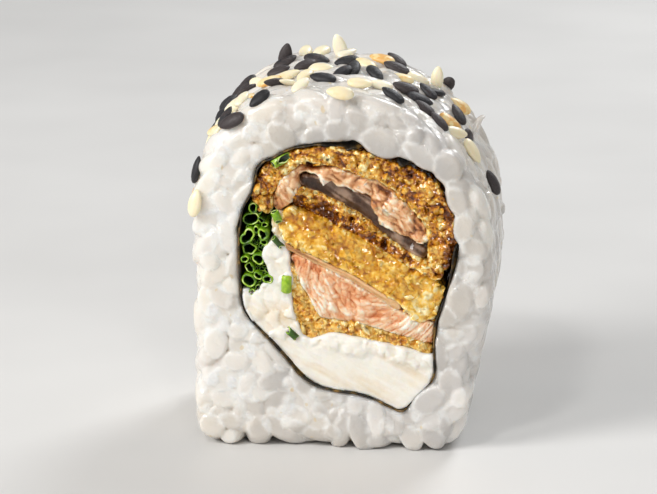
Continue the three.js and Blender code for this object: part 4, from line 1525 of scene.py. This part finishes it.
# One cut face of a filling: how far each point lies from the roll's middle, and its tone.
def filledFace(side, flat, gap, style, seed):
    place = np.stack([flat[:, 0], np.full(len(flat), side * halfDepth), flat[:, 1]], axis=1)
    height, tone = style["relief"](place, style, seed)
    drop = edgeRound(gap, style["round"])
    if style.get("outerDark"):
        tone = tone - outerDarkening(flat, style["outerDark"])
    wander = 0.5 * np.stack([softNoise(place, 1.1, seed + 70 + axis) for axis in (0, 2)], axis=1)
    for x, z, radius, toneShift, heightShift in style.get("patches", ()):
        away = np.linalg.norm(flat + wander * min(1, radius) - (x + rollShift, z), axis=1)
        weight = np.exp(-((away / radius) ** 2))
        tone = tone + weight * toneShift
        height = height + weight * heightShift
    # Relief may stand a little proud of the rice's cut face
    far = np.minimum(halfDepth - style["recess"] + height - drop, halfDepth + 0.3)
    # Painted shade: the tone darkens where the rim rounds off
    return side * far, tone - 0.25 * drop / style["round"]


def makeFilling(node, style, seed):
    rim = fillingRim(node, style, seed)
    flat, faces = triangulated(rim, style["cell"], seed)
    gap = gapTo(flat, rim)[0]
    caps, tones = {}, {}
    for side in (-1, 1):
        caps[side], tones[side] = filledFace(side, flat, gap, style, seed)
    made = slabMesh(style["piece"], flat, faces, caps[-1], caps[1], {"tone": (tones[-1], tones[1])})
    hollow = hollowness(made.data, 3)
    shaded = getAttribute(made.data, "tone") - style.get("shade", 2.0) * hollow
    setAttribute(made.data, "tone", np.clip(shaded, 0, 1))
    tones = {-1: np.clip(tones[-1], 0, 1), 1: np.clip(tones[1], 0, 1)}
    if style.get("crumbs"):
        made = withCrumbs(made, flat, faces, caps, tones, style, seed)
    slotName = "salmon" if style["slot"] == "pale_flesh" else style["slot"]
    return finishPiece(made, finishes[style["slot"]], slotName, node)


# The filling with crumbs strewn over both of its cut faces, each about as brown as what it lies on.
def withCrumbs(body, flat, faces, caps, tones, style, seed):
    pieces = [body]
    under = treeOf([(x, 0, z) for x, z in flat])
    for side in (-1, 1):
        vertices = np.stack([flat[:, 0], caps[side], flat[:, 1]], axis=1)
        carrier = newObject("crumb_carrier", vertices, (faces if side < 0 else faces[:, ::-1]).tolist())
        patchy = roughNoise(vertices, 1.3, seed + 90, 2)
        cover = np.clip(0.75 + patchy, 0, 1) * (tones[side] > crumbs["darkest"])
        setAttribute(carrier.data, "cover", cover)
        kinds = [
            shardForm(f"shard_{index}", size, seed + index) for index, size in enumerate(crumbs["sizes"])
        ]
        strewn = scatter("crumbs", carrier, kinds, finishes[style["slot"]], {
            "Spacing": crumbs["spacing"] * mm / style["crumbs"],
            "Seed": seed,
            "Smallest": crumbs["smallest"],
            "Largest": crumbs["largest"],
            "Lean": crumbs["lean"],
            "Lowest": crumbs["lowest"] * mm,
            "Highest": crumbs["highest"] * mm,
        })
        spread = getAttribute(strewn.data, "grain")
        base = tones[side][[under.find((x, 0, z))[1] for x, _, z in places(strewn.data)]]
        setAttribute(strewn.data, "tone", np.clip(base + 0.06 + 0.42 * (spread - 0.4), 0, 1))
        pieces.append(strewn)
    return joined(style["piece"], *pieces)


for number, (node, style) in enumerate(fillings.items()):
    makeFilling(style.get("node", node), style, 100 + 31 * number)
report("fillings made")


# Chives

chives = {
    "wall": 0.24,
    "bitWall": 0.15,
    "smallWall": 0.4,          # as a share of a small leaf's radius
    "leafEnd": 11.75,
    # Tones for skin, rim and bore: the dark bore is painted shade, and the small leaves set back in the gaps
    # are darker, partly as painted shade
    "leafTones": (0.5, 0.66, 0.06),
    "smallTones": (0.24, 0.5, 0.02),
    "unevenness": 0.08,
}
# Leaves along the roll: X, Z, radius
chiveLeaves = [
    (-9.7, 25.9, 0.5), (-9.9, 24.7, 0.75), (-10.2, 22.95, 0.75), (-10.1, 21.5, 0.7),
    (-8.5, 24.1, 0.3), (-8.6, 23.2, 0.55), (-9.3, 23.7, 0.33), (-8.5, 22.3, 0.33),
    (-10.5, 20.5, 0.38), (-9.1, 20.5, 0.6), (-10.05, 19.5, 0.5), (-10.1, 18.2, 0.7),
    (-9.15, 18.75, 0.4), (-8.1, 18.4, 0.5), (-9.8, 16.9, 0.33), (-9.2, 17.3, 0.36),
]
# Short cut lengths pressed into the front face, by node. "ends" are both ends in X and Z, "depth" is
# how far forward the middle lies, "slants" tilt the cuts, and "tones" are for skin, rim and bore,
# the bore's dark tone being painted shade.
chiveBits = {
    "chive_bit_top": {
        "ends": ((-7.5, 30.7), (-6.3, 31.4)), "radius": 0.46, "depth": 12.0, "slants": (0.5, 1.8),
        "tones": (0.7, 0.95, 0.12),
    },
    "chive_bit_corner": {
        "ends": ((-7.4, 25.7), (-6.95, 24.6)), "radius": 0.42, "depth": 11.95, "slants": (0.2, 0.7),
        "tones": (0.58, 1.0, 0.3),
    },
    "chive_bit_dark": {
        "ends": ((-7.5, 22.9), (-6.6, 21.9)), "radius": 0.32, "depth": 11.95, "slants": (0.3, 0.8),
        "tones": (0.22, 0.8, 0.05),
    },
    "chive_bit_middle": {
        "ends": ((-6.15, 18.9), (-6.2, 17.0)), "radius": 0.58, "depth": 11.85, "slants": (0, 0),
        "tones": (0.72, 0.74, 0.6), "wall": 0.54,
    },
    "chive_bit_low": {
        "ends": ((-6.05, 13.0), (-5.05, 12.1)), "radius": 0.36, "depth": 11.95, "slants": (0.9, 0.3),
        "tones": (0.28, 0.8, 0.05),
    },
}


def chiveFinish():
    material, tree, shader = newFinish(
        "chive_green", Roughness=0.3, Coat_Weight=0.3, Coat_Roughness=0.1,
        Subsurface_Weight=0.3, Subsurface_Radius=(0.5, 1.0, 0.2), Subsurface_Scale=0.35 * mm,
    )
    colour = rampNode(tree, mottledTone(tree, 0.5, 3.0, 0.55, 0.12), [
        (0.02, tint(14, 28, 5)),
        (0.3, tint(50, 90, 6)),
        (0.55, tint(112, 158, 10)),
        (0.8, tint(168, 200, 50)),
        (1.0, tint(220, 234, 160)),
    ])
    link(tree, colour, shader.inputs["Base Color"])
    bumpNode(tree, shader, noiseNode(tree, 0.2, 2.0), 0.03)
    return material


# A hollow leaf from start to end, open at both ends; tones for its skin, its cut rim and its bore, which is
# painted dark as shade inside the tube.
def tubeMesh(name, start, end, radius, wall, squeeze, seed, tones, slants=(0, 0), sides=28):
    start, end = Vector(start), Vector(end)
    axis = (end - start).normalized()
    across = axis.orthogonal().normalized()
    up = axis.cross(across)
    draw = random.Random(seed)
    turn, length = draw.uniform(0, math.pi), (end - start).length
    most = chives["unevenness"]
    waves = [(draw.uniform(-most, most), draw.uniform(0, 6.3), count) for count in (2, 3, 5)]
    # Distance along, radius and tone of each ring, from the bore's far end out and round; the bore is
    # painted dark as shade, darkest halfway along
    bevel = wall * 0.3
    inner, outer = radius - wall, radius
    skin, rim, shadedBore = tones
    profile = [
        (bevel, inner, shadedBore),
        (0, inner + bevel, rim),
        (0, outer - bevel, rim),
        (bevel, outer, skin),
        (length * 0.5, outer, skin - 0.05),
        (length - bevel, outer, skin),
        (length, outer - bevel, rim),
        (length, inner + bevel, rim),
        (length - bevel, inner, shadedBore),
        (length * 0.5, inner, 0.0),
    ]
    vertices, tone = [], []
    for along, reach, value in profile:
        for step in range(sides):
            angle = 2 * math.pi * step / sides
            wave = 1 + squeeze * math.cos(2 * (angle - turn))
            wave += sum(size * math.cos(count * angle + shift) for size, shift, count in waves)
            # The wall keeps its thickness where the leaf is squeezed, and a slanted cut opens to the front
            distance = radius * wave - (radius - reach)
            aside = (across * math.cos(angle) + up * math.sin(angle)) * distance
            share = along / length
            slide = -aside.y * (slants[0] * max(0, 1 - 2 * share) - slants[1] * max(0, 2 * share - 1))
            vertices.append(start + axis * (along + slide) + aside)
            uneven = 0.24 * math.cos(angle - 2 * turn) + 0.16 * math.cos(3 * angle + turn)
            tone.append(value + (uneven if value == rim else 0))
    faces = ringFaces(len(profile), sides, closed=True)
    made = newObject(name, [tuple(v) for v in vertices], faces)
    fixed = bmesh.new()
    fixed.from_mesh(made.data)
    bmesh.ops.recalc_face_normals(fixed, faces=fixed.faces)
    fixed.to_mesh(made.data)
    fixed.free()
    setAttribute(made.data, "tone", tone)
    return made


# Small leaves for the gaps between the big ones, each as big as its gap allows.
def fillingLeaves(draw):
    outline = evenly(outlineOf("chives"), 0.4)
    big = [(x + rollShift, z, radius) for x, z, radius in chiveLeaves]
    low = [min(p[i] for p in outline) for i in (0, 1)]
    high = [max(p[i] for p in outline) for i in (0, 1)]
    spots = np.array([[draw.uniform(low[i], high[i]) for i in (0, 1)] for _ in range(2500)])
    inside = -gapTo(spots, outline)[0]
    small = []
    for (x, z), depth in zip(spots, inside):
        room = min(math.hypot(x - other[0], z - other[1]) - other[2] for other in big + small)
        radius = min(room + 0.04, depth + 0.25, 0.4)
        if depth > 0 and radius > 0.16:
            small.append((x, z, radius))
    return small


def makeChives(material):
    leaves = []
    draw = random.Random(4)
    for index, (x, z, radius) in enumerate(chiveLeaves):
        reach = chives["leafEnd"] + draw.uniform(-0.5, 0.35)
        start = (x + rollShift, -reach, z)
        end = (x + rollShift, reach, z)
        wall = min(chives["wall"] * draw.uniform(0.8, 1.2), radius * 0.48)
        squeeze = draw.uniform(0.04, 0.22)
        leaves.append(tubeMesh(
            f"leaf_{index}", start, end, radius + 0.03, wall, squeeze, index, chives["leafTones"],
        ))
    for index, (x, z, radius) in enumerate(fillingLeaves(draw)):
        reach = chives["leafEnd"] - draw.uniform(0.25, 0.9)
        wall = radius * chives["smallWall"]
        squeeze = draw.uniform(0.1, 0.3)
        leaves.append(tubeMesh(
            f"small_leaf_{index}", (x, -reach, z), (x, reach, z), radius, wall, squeeze, 60 + index,
            chives["smallTones"],
        ))
    bundle = joined("chive_bundle", *leaves)
    finishPiece(bundle, material, "chives", "chives")
    for number, (node, bit) in enumerate(chiveBits.items()):
        start, end = [(x + rollShift, -bit["depth"], z) for x, z in bit["ends"]]
        made = tubeMesh(
            node.replace("bit", "snip"), start, end, bit["radius"], bit.get("wall", chives["bitWall"]), 0.06,
            50 + number, bit["tones"], bit["slants"],
        )
        finishPiece(made, material, "chives", node)


makeChives(chiveFinish())
report("chives made")


# Sesame seeds

sesame = {
    "length": 2.85,
    "width": 1.5,
    "thickness": 0.85,
    "spacing": 2.3,
    "strewnSpacing": 3.68,
    "strewnMiddle": 2.5,      # strewn seeds lie round this place along the roll
    "strewnReach": 8.6,       # and this far from it at most
    "crownStart": 31.0,
    "frontLean": 0.45,        # the seeds at the front edge lie a little towards the front
    "sunk": {"front": 0.28, "flank": 0.2, "standing": 0.95},  # how far a seed's middle lies out
}
# Seeds that the photograph shows: its pixel X and Y, and the way the seed points in the picture,
# in degrees anticlockwise from the right
blackSeen = [
    (324, 45, 5), (325, 50, -15), (363, 53, 10), (393, 50, -20), (405, 59, -50), (396, 62, -40),
    (419, 67, -10), (286, 64, 30), (305, 67, 20), (317, 61, -10), (347, 63, 10), (342, 74, 30),
    (354, 70, 75), (323, 80, -10), (375, 75, -45), (396, 70, -25), (405, 90, -20), (427, 93, -45),
    (392, 97, -35), (419, 101, -20), (424, 110, -40), (438, 123, -50), (457, 116, -62), (248, 85, 45),
    (253, 74, 50), (260, 100, 40), (219, 101, 45), (230, 104, 40), (223, 120, 80), (233, 122, 25),
    (491, 183, -65), (487, 354, 45),
]
paleSeen = [
    (306, 53, 70), (272, 60, 55), (249, 72, 30), (361, 46, 8), (321, 54, 35), (347, 55, 20),
    (382, 61, -15), (321, 70, 0), (366, 66, -30), (289, 77, 20), (305, 78, 40), (301, 87, 45),
    (270, 83, 20), (360, 85, -5), (380, 87, -10), (402, 80, -15), (416, 80, -20), (340, 94, -8),
    (448, 86, -70), (458, 107, -30), (449, 123, -35), (454, 134, -8), (471, 152, -60), (243, 101, 55),
    (235, 108, 40), (215, 120, 80), (217, 132, 15), (196, 203, 80),
]
# Seeds on the left flank, which the photograph shows edge on: depth, height, heading from upright
# in degrees, and whether it is black
flankSeeds = [
    (-9.6, 35.0, 20, True), (-8.0, 34.4, -10, False), (-9.9, 33.4, 5, False), (-9.3, 25.9, 8, False),
    (-9.8, 29.4, 0, True), (-4.0, 33.0, 40, True), (-2.0, 30.5, -20, False), (1.5, 34.2, 60, True),
]
# Seeds that stand on end: where they stand in X and Y, lean in degrees, and whether it is black
standing = [(-2.4, 8.6, -17, False), (-8.6, 7.0, 11, True), (7.9, 7.5, 6, False)]


# A flattened drop with a blunt and a pointed end.
def seedForm(name, scale=1.0, plump=1.0):
    ball = bmesh.new()
    bmesh.ops.create_uvsphere(ball, u_segments=12, v_segments=9, radius=1)
    for vertex in ball.verts:
        along = math.copysign(abs(vertex.co.z) ** 0.82, vertex.co.z)
        pointed = 1 - 0.3 * max(0, along) ** 1.5 - 0.05 * along
        vertex.co = Vector((
            along * sesame["length"] / 2,
            vertex.co.x * pointed * sesame["width"] / 2,
            vertex.co.y * pointed * plump * sesame["thickness"] / 2,
        )) * scale * mm
    made = fromShape(name, ball)
    made.data.shade_smooth()
    return made


def blackFinish():
    material, tree, shader = newFinish(
        "black_sesame", Roughness=0.5, Specular_IOR_Level=0.45, Coat_Weight=0.12, Coat_Roughness=0.3,
    )
    tone = mathNode(tree, "ADD", attributeValue(tree, "grain"), noiseNode(tree, 0.7, 3.0))
    colour = rampNode(tree, tone, [
        (0.35, tint(22, 21, 23)), (0.9, tint(38, 37, 41)), (1.0, tint(58, 50, 50)),
    ])
    link(tree, colour, shader.inputs["Base Color"])
    bumpNode(tree, shader, noiseNode(tree, 0.3, 4.0, 0.7), 0.12)
    return material


def paleFinish():
    material, tree, shader = newFinish(
        "pale_sesame", Roughness=0.38, Subsurface_Weight=0.4, Subsurface_Radius=(1.0, 0.75, 0.45),
        Subsurface_Scale=0.5 * mm, Coat_Weight=0.2, Coat_Roughness=0.2,
    )
    mottled = rangeNode(tree, noiseNode(tree, 1.1, 2.0), 0.3, 0.7, -0.2, 0.2)
    tone = mathNode(tree, "ADD", attributeValue(tree, "grain"), mottled)
    colour = rampNode(tree, tone, [
        (0.0, tint(252, 242, 218)),
        (0.7, tint(248, 232, 194)),
        (0.93, tint(245, 218, 160)),
        (1.0, tint(236, 184, 108)),
    ])
    link(tree, colour, shader.inputs["Base Color"])
    bumpNode(tree, shader, noiseNode(tree, 0.25, 3.0), 0.03)
    return material


# One mesh of seeds at given middles, each with its long way and the way out of its flat side.
def placedSeeds(name, seeds, plump, draw):
    base = seedForm("seed", 1.0, plump)
    shape = places(base.data)
    faces = [tuple(p.vertices) for p in base.data.polygons]
    discard(base)
    vertices, allFaces, grain = [], [], []
    for centre, long, thick in seeds:
        long = long.normalized()
        width = thick.cross(long).normalized()
        thickness = long.cross(width).normalized()
        turn = np.array([long, width, thickness])
        first = len(vertices) * len(shape)
        size = draw.uniform(0.9, 1.08)
        vertices.append(shape * size @ turn + np.array(centre) / mm)
        allFaces += [tuple(index + first for index in face) for face in faces]
        grain += [draw.random()] * len(shape)
    made = newObject(name, np.concatenate(vertices), allFaces)
    setAttribute(made.data, "grain", grain)
    return made


# The mean normal of the rice round a spot, so that a seed lies on the grains and not in a crease.
def smoothNormal(surface, spot, normal, reach=1.4):
    total = normal.copy()
    for index in range(8):
        angle = index * math.pi / 4
        side = normal.orthogonal().normalized()
        step = (side * math.cos(angle) + normal.cross(side) * math.sin(angle)) * reach * mm
        hit = surface.ray_cast(spot + step + normal * 3 * mm, -normal, 6 * mm)
        if hit[0] is not None:
            total += hit[1]
    return total.normalized()


# The seeds that the photograph shows, laid where their sight lines meet the rice.
def seenSeeds(surface, seen, draw):
    seeds = []
    right, up = pictureWays()
    for pixelX, pixelY, heading in seen:
        spot, normal = seenSpot(surface, pixelX, pixelY)
        if spot is None:
            continue
        back = (Vector(photo["place"]) - spot).normalized()
        flatNormal = (smoothNormal(surface, spot, normal) + back * sesame["frontLean"]).normalized()
        pointing = right * math.cos(math.radians(heading)) + up * math.sin(math.radians(heading))
        # The same heading laid on the surface, as seen along the sight line
        facing = max(0.25, flatNormal.dot(back))
        long = pointing - back * (pointing.dot(flatNormal) / facing)
        if long.length < 1e-6:
            continue
        if draw.random() < 0.5:
            long = -long
        seeds.append((spot + flatNormal * sesame["sunk"]["front"] * mm, long, flatNormal))
    return seeds


# The seeds laid one by one, black and pale.
def handLaidSeeds(surface):
    draw = random.Random(8)
    black = seenSeeds(surface, blackSeen, draw)
    pale = seenSeeds(surface, paleSeen, draw)
    for x, y, lean, isBlack in standing:
        spot = surface.ray_cast(Vector((x + rollShift, y, 60)) * mm, Vector((0, 0, -1)))[0]
        long = Vector((math.sin(math.radians(lean)), 0.0, math.cos(math.radians(lean))))
        raised = spot + long * sesame["sunk"]["standing"] * mm
        (black if isBlack else pale).append((raised, long, Vector((0, -1, 0))))
    for y, z, heading, isBlack in flankSeeds:
        spot, normal = surface.ray_cast(Vector((-40, y, z)) * mm, Vector((1, 0, 0)))[:2]
        out = smoothNormal(surface, spot, normal)
        long = Vector((0, math.sin(math.radians(heading)), math.cos(math.radians(heading))))
        long = (long - out * long.dot(out)).normalized()
        (black if isBlack else pale).append((spot + out * sesame["sunk"]["flank"] * mm, long, out))
    report(f"{len(black)} black and {len(pale)} pale seeds laid by hand")
    return black, pale


# A copy of the rice that seeds are strewn over, away from the listed ones.
def seedCarrier(laid, number):
    carrier = linked("seed_carrier", riceBody.data.copy())
    carrier.data.materials.clear()
    spots = places(carrier.data)
    apart = np.array([laid.find(Vector(s) * mm)[2] for s in spots]) / mm
    gap = gapTo(spots[:, [0, 2]], wallOutline)[0]
    high = smoothStep(sesame["crownStart"] - 2, sesame["crownStart"] + 2.5, spots[:, 2])
    outward = (gap > -1.2) & (np.abs(spots[:, 1] - sesame["strewnMiddle"]) < sesame["strewnReach"])
    patch = softNoise(spots, 5.0, 70 + number) > -0.75
    cover = (high > 0.5) * outward * (apart > sesame["spacing"]) * patch
    setAttribute(carrier.data, "cover", cover)
    return carrier


# All seeds of one colour, the strewn ones and the listed ones.
def spreadSeeds(name, carrier, settings, plump, chosen, draw):
    kinds = [seedForm("seed_full", 1.0, plump), seedForm("seed_small", 0.9, plump)]
    strewn = scatter(name + "_strewn", carrier, kinds, None, settings)
    laid = placedSeeds(name + "_laid", chosen, plump, draw)
    return joined(name, strewn, laid)


def makeSesame():
    black, pale = handLaidSeeds(surfaceOf(riceBody))
    laid = treeOf([seed[0] for seed in black + pale])
    blackCarrier, paleCarrier = seedCarrier(laid, 0), seedCarrier(laid, 1)
    draw = random.Random(21)
    settings = {
        "Spacing": sesame["strewnSpacing"] * mm,
        "Seed": 5,
        "Smallest": 0.92,
        "Largest": 1.06,
        "Lean": 0.3,
        "Lowest": 0.15 * mm,
        "Highest": 0.35 * mm,
    }
    blacks = spreadSeeds("black_sesame_seeds", blackCarrier, settings, 1.0, black, draw)
    pales = spreadSeeds("pale_sesame_seeds", paleCarrier, {**settings, "Seed": 9}, 0.95, pale, draw)
    finishPiece(blacks, blackFinish(), "rice", "rice")
    finishPiece(pales, paleFinish(), "rice", "rice")


makeSesame()
report("sesame made")


# Floor, light and world

def makeFloor():
    far = 600
    corners = [(-far, -far, 0), (far, -far, 0), (far, far, 0), (-far, far, 0)]
    floor = newObject("floor", corners, [(0, 1, 2, 3)])
    material, tree, shader = newFinish("pale_table", Roughness=0.5, Specular_IOR_Level=0.3)
    colour = rampNode(tree, noiseNode(tree, 40, 2.0), [
        (0.3, tint(214, 213, 211)), (0.7, tint(222, 221, 219)),
    ])
    link(tree, colour, shader.inputs["Base Color"])
    floor.data.materials.append(material)


# Lights, in metres and watts: place, size, power and colour
lights = {
    "key": ((-0.32, -0.22, 0.26), 0.2, 1.48, (1.0, 0.985, 0.97)),
    "sparkle": ((-0.12, -0.3, 0.4), 0.06, 0.42, (1.0, 0.99, 0.97)),
    "glint": ((0.1, -0.36, 0.22), 0.03, 0.12, (1.0, 0.99, 0.97)),
    "fill": ((0.36, -0.28, 0.12), 0.3, 0.16, (0.93, 0.96, 1.0)),
    "rim": ((0.14, 0.3, 0.3), 0.14, 0.9, (0.96, 0.98, 1.0)),
}
lightsAim = (0, 0, 0.02)
surroundings = {"colour": (1.0, 0.99, 0.98, 1.0), "strength": 0.3}


def makeLight(name, place, size, power, colour):
    lamp = bpy.data.lights.new(name, "AREA")
    lamp.shape = "DISK"
    lamp.size = size
    lamp.energy = power
    lamp.color = colour
    made = linked(name, lamp)
    made.location = place
    made.rotation_mode = "QUATERNION"
    made.rotation_quaternion = (Vector(lightsAim) - Vector(place)).to_track_quat("-Z", "Y")


def makeLights():
    for name, (place, size, power, colour) in lights.items():
        makeLight(name, place, size, power, colour)
    world = bpy.data.worlds.new("world")
    world.use_nodes = True
    background = world.node_tree.nodes["Background"]
    background.inputs["Color"].default_value = surroundings["colour"]
    background.inputs["Strength"].default_value = surroundings["strength"]
    bpy.context.scene.world = world
    bpy.context.scene.view_settings.view_transform = "Standard"


makeFloor()
makeLights()

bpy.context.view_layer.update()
report("ready")
